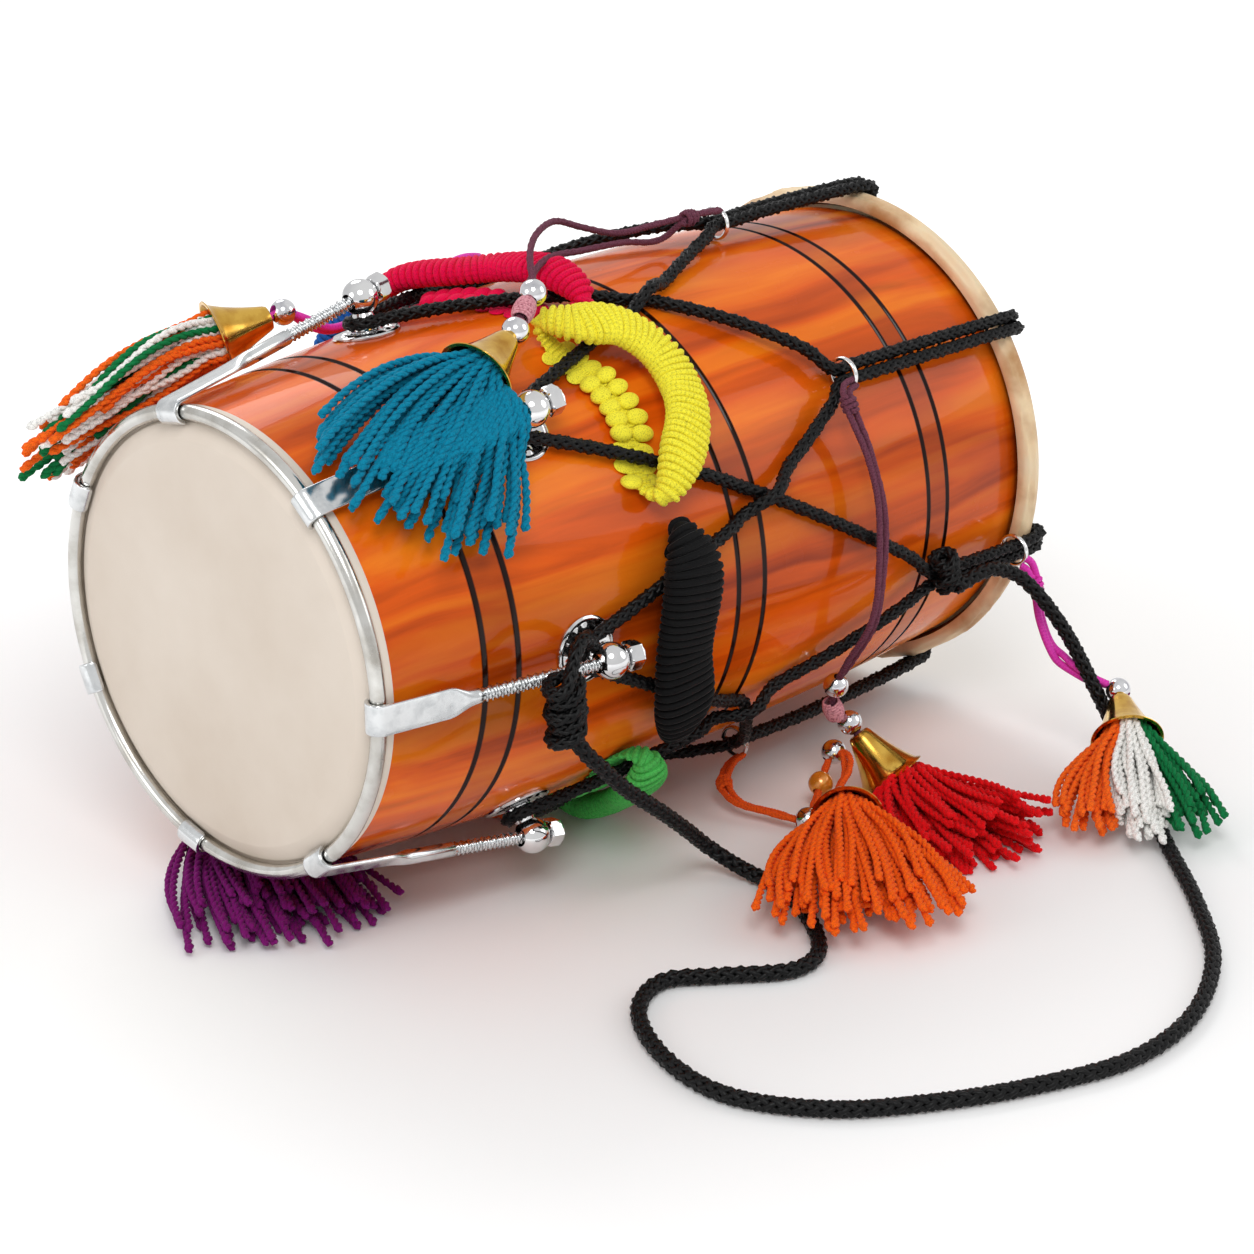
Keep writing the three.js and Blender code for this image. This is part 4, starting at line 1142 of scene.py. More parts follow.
@dataclass
class Lugs:
    """The seven lugs: hooked rods, nuts, ball bolts and backplates."""

    ball_rise: float = 23.2
    ball_radius: float = 12.0
    ball_steps: int = 22
    rod: float = 5.0
    thread_ridge: float = 0.95
    thread_root: float = 1.3
    thread_pitch: float = 2.2
    thread_starts: tuple = (98.0, 98.0, 67.0, 98.0, 98.0, 98.0, 98.0)
    neck: float = 4.9
    neck_end: float = 62.0
    strap_width: float = 20.0
    strap: float = 3.0
    strap_end: float = 45.0
    strap_squareness: float = 0.78
    claw_sweep: float = 160.0
    claw_steps: int = 20
    rod_sides: int = 24
    nut_flats: float = 17.0
    nut_height: float = 10.0
    nut_sides: int = 48
    proud: float = 3.0
    shank: float = 5.0
    shank_below: float = 11.0
    inner_nut: float = 8.0
    inner_nut_reach: float = 8.5
    plate: float = 23.0
    plate_hole: float = 5.6
    plate_sheet: float = 0.9
    plate_rings: int = 22
    plate_sides: int = 96
    petals: int = 12

    def __post_init__(self) -> None:
        """Works out the rod's lean and the places along it, in a lug's own plane."""
        bow = self.strap_width**2 / (8 * HOOP_RADIUS)
        self.claw = HOOP_PIPE + FIT_GAP + bow + self.strap / 2
        self.ball = Vector((BALL_X, 0.0, BARREL.radius(BALL_X) + self.ball_rise))
        self.hoop = Vector((0.0, 0.0, HOOP_RADIUS))
        reach = self.ball - self.hoop
        self.lean = math.atan2(reach.z, reach.x) - math.asin(self.claw / reach.length)
        self.axis = Vector((math.cos(self.lean), 0.0, math.sin(self.lean)))
        self.normal = Vector((-math.sin(self.lean), 0.0, math.cos(self.lean)))
        self.ball_along = reach.dot(self.axis)
        self.bore = (self.rod + FIT_GAP) / math.cos(math.pi / 6)
        self.seat = math.sqrt(self.ball_radius**2 - self.bore**2) + FIT_GAP
        self.end = self.ball_along + self.seat + self.nut_height + self.proud

    def along(self, s: float) -> Vector:
        """The place at a length along the rod, in the lug's own plane."""
        return self.hoop + self.normal * self.claw + self.axis * s

    def turn(self, verts: np.ndarray, number: int) -> np.ndarray:
        """Turns places from a lug's own plane to that lug."""
        matrix = np.array(Matrix.Rotation(math.radians(BARREL.lug(number)), 3, "X"))
        return np.asarray(verts) @ matrix.T

    def section(self, centre: Vector, normal: Vector, wide: float, thick: float, square: float) -> list:
        """Points of one of the rod's sections, from round where square is 0 to oblong where it is 1."""
        power = 1 - self.strap_squareness * square
        places = []
        for j in range(self.rod_sides):
            a = math.tau * (j + 0.5) / self.rod_sides
            across, out = wide * powered(math.cos(a), power), thick * powered(math.sin(a), power)
            places.append(tuple(centre + Vector((0, 1, 0)) * across + normal * out))
        return places

    def rod_mesh(self, thread_start: float) -> tuple:
        """The hooked rod without its thread: flat strap claw, shoulders, neck and core.

        Args:
            thread_start: where along the rod its thread begins.

        Returns:
            Vertices and faces.
        """
        core, bevel = self.rod - self.thread_root, 0.6
        flat = (self.strap_width / 2, self.strap / 2)
        rings = [self.section(self.along(s), self.normal, radius, radius, 0)
                 for s, radius in ((self.end, core - bevel), (self.end - bevel, core), (thread_start, core),
                                   (thread_start - 1.2, self.neck), (self.neck_end + 1, self.neck))]
        for share in (0.0, 0.25, 0.5, 0.75, 1.0):
            ease = share * share * (3 - 2 * share)
            wide, thick = (self.neck + (half - self.neck) * ease for half in flat)
            s = self.neck_end + (self.strap_end - self.neck_end) * share
            rings.append(self.section(self.along(s), self.normal, wide, thick, ease))
        for i in range(self.claw_steps + 1):
            a = math.pi / 2 + self.lean + math.radians(self.claw_sweep * i / self.claw_steps)
            normal = Vector((math.cos(a), 0.0, math.sin(a)))
            shrink = 0.86 if i == self.claw_steps else 1.0
            wide, thick = (half * shrink for half in flat)
            rings.append(self.section(self.hoop + normal * self.claw, normal, wide, thick, 1.0))
        return np.array([p for ring in rings for p in ring]), ring_faces(len(rings), self.rod_sides)

    def nut_mesh(self) -> tuple:
        """A hexagon nut with turned corners and a bore."""
        half, height, sides = self.nut_flats / 2, self.nut_height, self.nut_sides
        corner, bore = half / math.cos(math.pi / 6), self.rod + 0.35

        def hexagon(limit: float) -> list:
            """Radii of a hexagon cut back to a circle."""
            return [min(limit, half / math.cos((math.tau * j / sides) % (math.pi / 3) - math.pi / 6))
                    for j in range(sides)]

        rings = [(x, hexagon(limit)) for x, limit in (
            (0.0, half * 0.97), (0.9, corner * 0.985), (1.3, corner), (height - 1.3, corner),
            (height - 0.9, corner * 0.985), (height, half * 0.97))]
        rings += [(x, [radius] * sides) for x, radius in (
            (height, bore + 0.7), (height - 0.7, bore), (0.7, bore), (0.0, bore + 0.7))]
        axis = axis_matrix(self.along(self.ball_along + self.seat), self.axis)
        verts = []
        for x, radii in rings:
            for j, radius in enumerate(radii):
                a = math.tau * j / sides
                verts.append(tuple(axis @ Vector((x, -radius * math.sin(a), radius * math.cos(a)))))
        return np.array(verts), ring_faces(len(rings), sides, looped=True)

    def bolt_mesh(self) -> tuple:
        """The bored ball, its collar, its shank through the shell and the nut inside."""
        least = math.asin(self.bore / self.ball_radius)
        arc = [least + (math.pi - 2 * least) * i / self.ball_steps for i in range(self.ball_steps + 1)]
        ball = turned([(-self.ball_radius * math.cos(a), self.ball_radius * math.sin(a)) for a in arc], 40,
                      axis_matrix(self.ball, self.axis))
        reach, thick, shank = self.inner_nut_reach, self.inner_nut, self.shank
        wall = (BARREL.radius(BALL_X - reach) - BARREL.wall) * math.cos(math.pi / 35)
        inside = math.sqrt(wall**2 - reach**2) - FIT_GAP
        foot = inside - self.shank_below
        plate = BARREL.radius(BALL_X) + FIT_GAP + 1.6
        top = self.ball.z - self.ball_radius * 0.8
        parts = [ball]
        for low, sides, profile in (
            (foot, 24, [(0, 0), (0, shank - 0.4), (0.4, shank), (top - foot, shank), (top - foot, 0)]),
            (plate, 32, [(0, shank), (0, 9.4), (0.5, 10.0), (2.2, 10.0), (2.8, 9.3), (top - plate - 0.2, 6.4),
                         (top - plate + 0.6, shank)]),
            (inside - thick, 6, [(0, shank), (0, reach - 0.5), (0.8, reach), (thick - 0.8, reach),
                                 (thick, reach - 0.5), (thick, shank)]),
        ):
            upright = axis_matrix(Vector((BALL_X, 0, low)), Vector((0.0, 0.0, 1.0)))
            parts.append(turned(profile, sides, upright))
        return joined(parts)

    def plate_rise(self, radius: float, a: float) -> float:
        """Height of a backplate's front at a radius and an angle: a rolled edge, an inner ring and petals."""
        edge = 1.1 * math.exp(-((radius - self.plate + 1.8) / 1.1) ** 2)
        inner = 0.9 * math.exp(-((radius - 9.5) / 1.0) ** 2)
        ring = math.exp(-((radius - 15.2) / 2.6) ** 2)
        return self.plate_sheet + edge + inner + 1.1 * ring * (0.5 + 0.5 * math.cos(self.petals * a)) ** 1.5

    def plate_mesh(self) -> tuple:
        """A pressed round plate, bent to the barrel."""
        radii = np.linspace(self.plate_hole, self.plate - 0.4, self.plate_rings)
        bend = BARREL.radius(155.0)
        verts = []
        for front in (True, False):
            for radius in (radii if front else radii[::-1]):
                for j in range(self.plate_sides):
                    a = math.tau * j / self.plate_sides
                    lift = FIT_GAP + (self.plate_rise(radius, a) if front else 0.0)
                    turn = math.degrees(radius * math.sin(a) / bend)
                    verts.append(tuple(BARREL.on(BALL_X + radius * math.cos(a), turn, lift)))
        return np.array(verts), ring_faces(2 * self.plate_rings, self.plate_sides, looped=True)

    def build(self) -> None:
        """Builds and places the seven lugs."""
        nut, bolt, plate = self.nut_mesh(), self.bolt_mesh(), self.plate_mesh()
        thread = Strands(1, self.rod - self.thread_ridge, self.thread_ridge, self.thread_pitch, step=0.5)
        for k in range(BARREL.lugs):
            number, start = k + 1, self.thread_starts[k]
            rod = self.rod_mesh(start)
            put(f"hook_{number}", (self.turn(rod[0], k), rod[1]), Stuff.ZINC, f"rod_{number}",
                f"hook_rod_{number}", sharp=45.0)
            line = self.turn(rows([self.along(start + 0.6), self.along(self.end - 0.9)]), k)
            screw = thread.lay_along(f"thread_{number}", [[Vector(p) for p in line]], Stuff.ZINC.material())
            settle(screw, f"rod_{number}", Stuff.ZINC.slot)
            for name, body, mesh, stuff, node, sharp in (
                ("nut", f"nut_{number}", nut, Stuff.CHROME, "tension_nut", 28.0),
                ("ball", "drum", bolt, Stuff.CHROME, "ball_bolt", 40.0),
                ("plate", "drum", plate, Stuff.PLATE, "backplate", 50.0),
            ):
                put(f"{name}_{number}", (self.turn(mesh[0], k), mesh[1]), stuff, body, f"{node}_{number}",
                    sharp=sharp)


# Lacing

BRAID = Strands(8, 2.7, 1.7, 30.0, crossing=0.9, opposed=True, step=3.1, sides=5)


@dataclass
class Lacing:
    """The endless rope from lug to rim and back."""

    bight: float = 10.3
    low: float = 4.9
    cross_share: float = 0.61
    hump: float = 26.0
    ring_rise: float = 12.5
    gather_shares: tuple = (0.761, 0.714, 0.832, 0.643, 0.677, 0.728, 0.635)
    gather_turns: tuple = (0.25, 0.25, 0.25, 0.16, 0.25, 0.25, 0.25)
    rim_turn: float = 0.27
    flat_shares: tuple = (0.12, 0.3, 0.5, 0.75, 1.0)
    over_shares: tuple = (-1, -0.72, -0.45, -0.15, 0.15, 0.45, 0.72, 1)
    under_shares: tuple = (-0.6, 0, 0.6)
    far_shares: tuple = (0.25, 0.5, 0.75)
    shell: Shell = field(default_factory=Shell)

    def __post_init__(self) -> None:
        """Works out the rim's place from the rear head."""
        self.flesh_x = self.shell.flesh_x
        outer = self.shell.lap_inner + self.shell.skin
        self.rim_top = self.shell.flesh_radius + outer + ROPE_GAP + ROPE
        self.rim_rise = self.rim_top - BARREL.radius(self.flesh_x)
        self.rear_face = self.flesh_x + outer
        self.gap = ROPE + ROPE_GAP / 2

    def gather_x(self, pair: int) -> float:
        """Where a pair of strands comes together."""
        return self.gather_shares[pair] * BARREL.length

    def gather_angle(self, pair: int) -> float:
        """Angle at which a pair comes together."""
        return BARREL.lug(pair + self.gather_turns[pair % BARREL.lugs])

    def rim_angle(self, pair: int) -> float:
        """Angle at which a pair passes over the rim."""
        return BARREL.lug(pair + self.rim_turn)

    def step(self, radius: float) -> float:
        """Half the pair's spacing, as an angle."""
        return math.degrees(self.gap / radius)

    def pair_place(self, pair: int, x: float) -> Vector:
        """The middle of a pair of strands at x."""
        gx = self.gather_x(pair)
        along = max(0.0, x - gx) / (self.flesh_x - gx)
        angle = self.gather_angle(pair) + (self.rim_angle(pair) - self.gather_angle(pair)) * along
        return BARREL.on(x, angle, self.ring_rise + (self.rim_rise - self.ring_rise) * along)

    def strand(self, k: int, side: int, over: bool) -> Path:
        """One strand from a lug to the rim.

        Args:
            k: the lug.
            side: 1 where the angle grows towards the rim.
            over: whether it passes over at the crossing.

        Returns:
            The marks that it passes.
        """
        j = k + 1 if side > 0 else k - 1
        pair = j % BARREL.lugs
        start = BARREL.lug(k) + side * math.degrees(self.bight / BARREL.radius(BALL_X))
        cross = BARREL.lug(k + (self.cross_share if side > 0 else self.cross_share - 1))
        gx = self.gather_x(pair)
        base = BARREL.pitch * (j - pair)
        ring = self.gather_angle(pair) + base - side * self.step(BARREL.radius(gx) + self.ring_rise)
        rim = self.rim_angle(pair) + base - side * self.step(self.rim_top)
        hump_start = CROSS_X - 1.4 * self.hump

        def near(x: float) -> float:
            """Angle before the crossing."""
            return start + (cross - start) * (x - BALL_X) / (CROSS_X - BALL_X)

        def far(x: float) -> float:
            """Angle after the crossing."""
            return cross + (ring - cross) * (x - CROSS_X) / (gx - CROSS_X)

        def climb(x: float) -> float:
            """Height of the strand from the crossing on."""
            return self.low + (self.ring_rise - self.low) * max(0.0, x - CROSS_X) / (gx - CROSS_X)

        marks = []
        for share in self.flat_shares:
            x = BALL_X + (hump_start - BALL_X) * share
            marks.append(BARREL.on(x, near(x), ROPE_RISE))
        height = 2 * (ROPE + ROPE_GAP)
        for share in self.over_shares if over else self.under_shares:
            x = CROSS_X + share * self.hump
            up = height * (1 + math.cos(math.pi * share)) / 2 if over else 0.0
            marks.append(BARREL.on(x, near(x) if x < CROSS_X else far(x), climb(x) + up))
        after = CROSS_X + self.hump
        for share in self.far_shares:
            x = after + (gx - after) * share
            marks.append(BARREL.on(x, far(x), climb(x) + ROPE_GAP))
        straight = 2 * RING_WIRE + ROPE
        marks += [BARREL.on(x, ring, self.ring_rise) for x in (gx - straight, gx + straight)]

        def lane(x: float) -> float:
            """Angle after the gather."""
            return ring + (rim - ring) * (x - gx) / (self.flesh_x - gx)

        section = self.shell.flesh_section
        rim_start = self.flesh_x - 2 * section - ROPE
        for x in (gx + (rim_start - gx) * 0.33, gx + (rim_start - gx) * 0.66, rim_start):
            up = self.ring_rise + (self.rim_rise - self.ring_rise) * (x - gx) / (self.flesh_x - gx)
            marks.append(BARREL.on(x, lane(x), up + ROPE_GAP))
        marks.append(BARREL.around(self.flesh_x, rim, self.rim_top))
        return marks

    def rim_bight(self, pair: int) -> Path:
        """The rope's turn on the rear side of the rim, from one strand to the other."""
        back = self.rear_face + ROPE_GAP + ROPE
        angle, wide, hooked = self.rim_angle(pair), self.step(self.rim_top), self.shell.flesh_radius
        side = [(back - ROPE / 3, self.rim_top - ROPE / 2), (back, hooked + ROPE)]
        marks = [BARREL.around(x, angle - wide, r) for x, r in side]
        marks.append(BARREL.around(back, angle, hooked))
        return marks + [BARREL.around(x, angle + wide, r) for x, r in side[::-1]]

    def lug_bight(self, k: int) -> Path:
        """The rope's turn round a lug's shank."""
        marks = []
        for a in (-90, -60, -30, 0, 30, 60, 90):
            x = BALL_X - self.bight * math.cos(math.radians(a))
            across = self.bight * math.sin(math.radians(a))
            turn = math.degrees(across / BARREL.radius(BALL_X))
            marks.append(BARREL.on(x, BARREL.lug(k) + turn, ROPE_RISE))
        return marks

    def marks(self) -> Path:
        """Every mark of the endless rope in order."""
        marks, k = [], 0
        for _ in range(BARREL.lugs):
            marks += self.lug_bight(k) + self.strand(k, 1, False) + self.rim_bight(k + 1)
            k += 2
            marks += self.strand(k, -1, True)[::-1]
        return marks

    def build(self) -> None:
        """Builds the braided rope."""
        path = smooth_path(self.marks(), 4.0, looped=True)
        rope = BRAID.lay_along("lacing_braid", [path], Stuff.BLACK_ROPE.material(), looped=True)
        settle(rope, "drum", Stuff.BLACK_ROPE.slot, "lacing_rope")


# Tuning sleeves


class Lie(Enum):
    """How a sleeve's loop lies at a mark."""

    OVER = "over"
    WOOD = "wood"
    TURN = "turn"
    UNDER = "under"


STRAIGHT = ((0.127, -0.39, Lie.TURN), (0.125, -0.25, Lie.OVER), (0.117, 0, Lie.WOOD), (0.115, 0.13, Lie.WOOD),
            (0.12, 0.33, Lie.OVER), (0.13, 0.49, Lie.TURN), (0.15, 0.42, Lie.UNDER), (0.155, 0.07, Lie.UNDER),
            (0.148, -0.31, Lie.UNDER))
HOOKED = ((0.112, -0.4, Lie.TURN), (0.135, -0.29, Lie.OVER), (0.175, -0.23, Lie.OVER),
          (0.205, -0.1, Lie.WOOD), (0.205, 0.07, Lie.WOOD), (0.185, 0.22, Lie.OVER), (0.15, 0.36, Lie.OVER),
          (0.118, 0.47, Lie.TURN), (0.115, 0.36, Lie.UNDER), (0.135, 0.07, Lie.UNDER),
          (0.12, -0.29, Lie.UNDER))
SLANTED = ((0.112, -0.36, Lie.TURN), (0.122, -0.26, Lie.OVER), (0.15, -0.03, Lie.WOOD),
           (0.178, 0.14, Lie.WOOD), (0.187, 0.39, Lie.OVER), (0.184, 0.565, Lie.TURN),
           (0.155, 0.46, Lie.UNDER), (0.125, 0.1, Lie.UNDER), (0.103, -0.27, Lie.UNDER))


@dataclass
class Sleeves:
    """The seven yarn-wound loops over and under both strands of a lug."""

    bulks: tuple = ((33.0, 18.0), (31.0, 18.0), (45.0, 21.0), *((31.0, 18.0),) * 4)
    chain_width: float = 17.0
    chain: float = 2.6
    yarn: float = 2.25
    knob: Point = (8.2, 5.6, 4.2)
    knob_step: float = 10.6
    knob_half: float = 1.7
    under_rope: float = 1.2
    rope_reach: float = 15.0
    per_turn: int = 22
    core_sides: int = 14
    roundness: float = 0.8
    samples: int = 600
    least_half: float = 0.7
    shapes: tuple = (SLANTED, HOOKED, STRAIGHT, SLANTED, STRAIGHT, HOOKED, STRAIGHT)
    stuffs: tuple = (Stuff.PINK_YARN, Stuff.YELLOW_YARN, Stuff.BLACK_YARN, Stuff.GREEN_YARN, Stuff.RUST_YARN,
                     Stuff.VIOLET_YARN, Stuff.NAVY_YARN)

    def section(self, lie: Lie, bulk: tuple) -> Point:
        """Height of the loop's middle, its half width and its half thickness."""
        width, height = bulk
        under = ROPE_RISE + ROPE + ROPE_GAP
        half = height / 2
        if lie is Lie.OVER:
            return (under + half, width / 2, half)
        if lie is Lie.WOOD:
            return (under + half - ROPE, width / 2, half)
        if lie is Lie.TURN:
            return ((under + height) / 2, self.chain_width / 2, half * 0.7)
        return (ROPE_GAP + self.chain / 2, self.chain_width / 2, self.chain / 2)

    def frames(self, shape: tuple, bulk: tuple, arcs: float, count: int) -> tuple[list, float]:
        """Stations round the loop, on the unrolled barrel.

        Args:
            shape: the loop's table of marks.
            bulk: the loop's width and height where it lies over the rope.
            arcs: length of a lug pitch round the barrel.
            count: how many stations.

        Returns:
            For each station its centre, its way across, its way up and its two half sizes; and the loop's
            length.
        """
        n = len(shape)
        sections = [self.section(lie, bulk) for _, _, lie in shape]
        places = [Vector((BALL_X + x * BARREL.length, turn * arcs, s[0]))
                  for (x, turn, _), s in zip(shape, sections)]
        sizes = [Vector((s[1], s[2], 0)) for s in sections]
        runs = []
        for i, (_, _, lie) in enumerate(shape):
            run = places[(i + 1) % n] - places[i - 1]
            run.z = 0
            runs.append(run.normalized() * (-1 if lie is Lie.UNDER else 1))
        ways = [(runs[(i + 1) % n] + runs[i - 1]).normalized() if lie is Lie.TURN else runs[i]
                for i, (_, _, lie) in enumerate(shape)]

        def blend(values: list, t: float) -> tuple[Vector, Vector]:
            """Value and slope of a smooth closed run through values."""
            i = int(t) % n
            u = t - int(t)
            p0, p1, p2, p3 = values[i - 1], values[i], values[(i + 1) % n], values[(i + 2) % n]
            m1, m2 = (p2 - p0) * 0.5, (p3 - p1) * 0.5
            w = weights(u)
            slope = (p1 * (6 * u**2 - 6 * u) + m1 * (3 * u**2 - 4 * u + 1) + p2 * (6 * u - 6 * u**2)
                     + m2 * (3 * u**2 - 2 * u))
            return p1 * w[0] + m1 * w[1] + p2 * w[2] + m2 * w[3], slope

        dense = [blend(places, n * i / self.samples)[0] for i in range(self.samples + 1)]
        runs_at = [0.0]
        for a, b in zip(dense, dense[1:]):
            runs_at.append(runs_at[-1] + (b - a).length)
        stations = []
        for s in np.linspace(0, runs_at[-1], count, endpoint=False):
            t = float(np.interp(s, runs_at, np.linspace(0, n, self.samples + 1))) % n
            centre, slope = blend(places, t)
            size, way = blend(sizes, t)[0], blend(ways, t)[0]
            tangent = slope.normalized()
            across = Vector((-way.y, way.x, 0))
            across = (across - tangent * across.dot(tangent)).normalized()
            stations.append((centre, across, across.cross(tangent), size.x, max(size.y, self.least_half)))
        return stations, runs_at[-1]

    def place_on(self, flat: Vector, number: int, arcs: float) -> Vector:
        """Rolls an unrolled place back onto the barrel, never nearer than just over it."""
        lift = max(flat.z, ROPE_GAP + 0.2)
        return BARREL.on(flat.x, BARREL.lug(number) + flat.y / arcs * BARREL.pitch, lift)

    def knobs(self, stations: list, number: int, arcs: float, rope: np.ndarray) -> list:
        """Two columns of knotted yarn along a sleeve's underside, flat where the rope passes over them.

        Args:
            stations: the loop's stations.
            number: the lug, counted from 0.
            arcs: length of a lug pitch round the barrel.
            rope: the lacing rope's centreline, as rows.

        Returns:
            (vertices, faces) pairs, one for each knob.
        """
        made, since = [], self.knob_step
        wide, long, high = self.knob
        ball, faces = ball_mesh(Vector((0, 0, 0)), 1.0)
        for (before, *_), (centre, across, up, _, half) in zip([stations[-1], *stations], stations):
            since += (centre - before).length
            if half > self.knob_half or since < self.knob_step:
                continue
            since = 0.0
            tangent = across.cross(up)
            for side in (-1, 1):
                middle = centre + across * (side * wide)
                at = np.array(self.place_on(middle, number, arcs))
                free = np.linalg.norm(rope - at, axis=1).min() > self.rope_reach
                tall = high if free else self.under_rope
                places = [middle + tangent * (float(v[0]) * long) + across * (float(v[1]) * wide)
                          + Vector((0, 0, float(v[2]) * tall + tall - middle.z)) for v in ball]
                made.append((rows([self.place_on(p, number, arcs) for p in places]), faces))
        return made

    def sleeve(self, k: int, arcs: float, floor: float, rope: np.ndarray) -> None:
        """Builds one sleeve: a packed core under wound yarn.

        Args:
            k: the lug, counted from 0.
            arcs: length of a lug pitch round the barrel.
            floor: height of the floor.
            rope: the lacing rope's centreline, as rows.
        """
        shape, bulk, stuff = self.shapes[k], self.bulks[k], self.stuffs[k]
        name, body, thick = str(k + 1), f"sleeve_{k + 1}", self.yarn
        turns = int(self.frames(shape, bulk, arcs, 8)[1] / (2 * thick))
        stations, _ = self.frames(shape, bulk, arcs, turns * self.per_turn)
        wound, core, sizes = [], [], []
        for i, (centre, across, up, half_width, half_height) in enumerate(stations):
            a = math.tau * i / self.per_turn
            slim = min(1.0, max(0.5, half_height / 4.5))
            sizes.append(slim)
            wide, high = (max(half - thick * slim, 0.5) for half in (half_width, half_height))
            c, s = (powered(value, self.roundness) for value in (math.cos(a), math.sin(a)))
            wound.append(centre + across * (wide * c) + up * (high * s))
            if i % (self.per_turn // 2) == 0:
                for j in range(self.core_sides):
                    b = math.tau * j / self.core_sides
                    core.append(centre + across * (wide * math.cos(b)) + up * (high * math.sin(b)))
        winding, packed = ([self.place_on(p, k, arcs) for p in places] for places in (wound, core))
        for place in winding + packed:
            place.z = max(place.z, floor + thick)
        yarn_piece = Strands(1, 0.0, thick, 7.0, step=2.3, sides=7).lay_along(
            "sleeve_yarn_" + name, [winding], stuff.material(), looped=True, sizes=[sizes])
        settle(yarn_piece, body, stuff.slot, "tuning_sleeve_" + name)
        skin = (rows(packed), ring_faces(len(packed) // self.core_sides, self.core_sides, looped=True))
        verts, faces = joined([skin, *self.knobs(stations, k, arcs, rope)])
        verts[:, 2] = np.maximum(verts[:, 2], floor + 0.5)
        put("sleeve_core_" + name, (verts, faces), stuff, body, sharp=60.0)

    def build(self, lacing: Lacing) -> None:
        """Builds the seven sleeves.

        Args:
            lacing: the rope that the sleeves ride on.
        """
        rope = rows(smooth_path(lacing.marks(), 6.0, looped=True))
        arcs = BARREL.radius(CROSS_X) * math.radians(BARREL.pitch)
        for k in range(BARREL.lugs):
            self.sleeve(k, arcs, FLOOR_GAP - Place.shift.z, rope)


# Tassels

LAID_CORD = Strands(4, 1.35, 1.2, 9.0, step=1.8, sides=5)
SMOOTH_CORD = Strands(1, 0.0, 2.8, 9.0, sides=8)


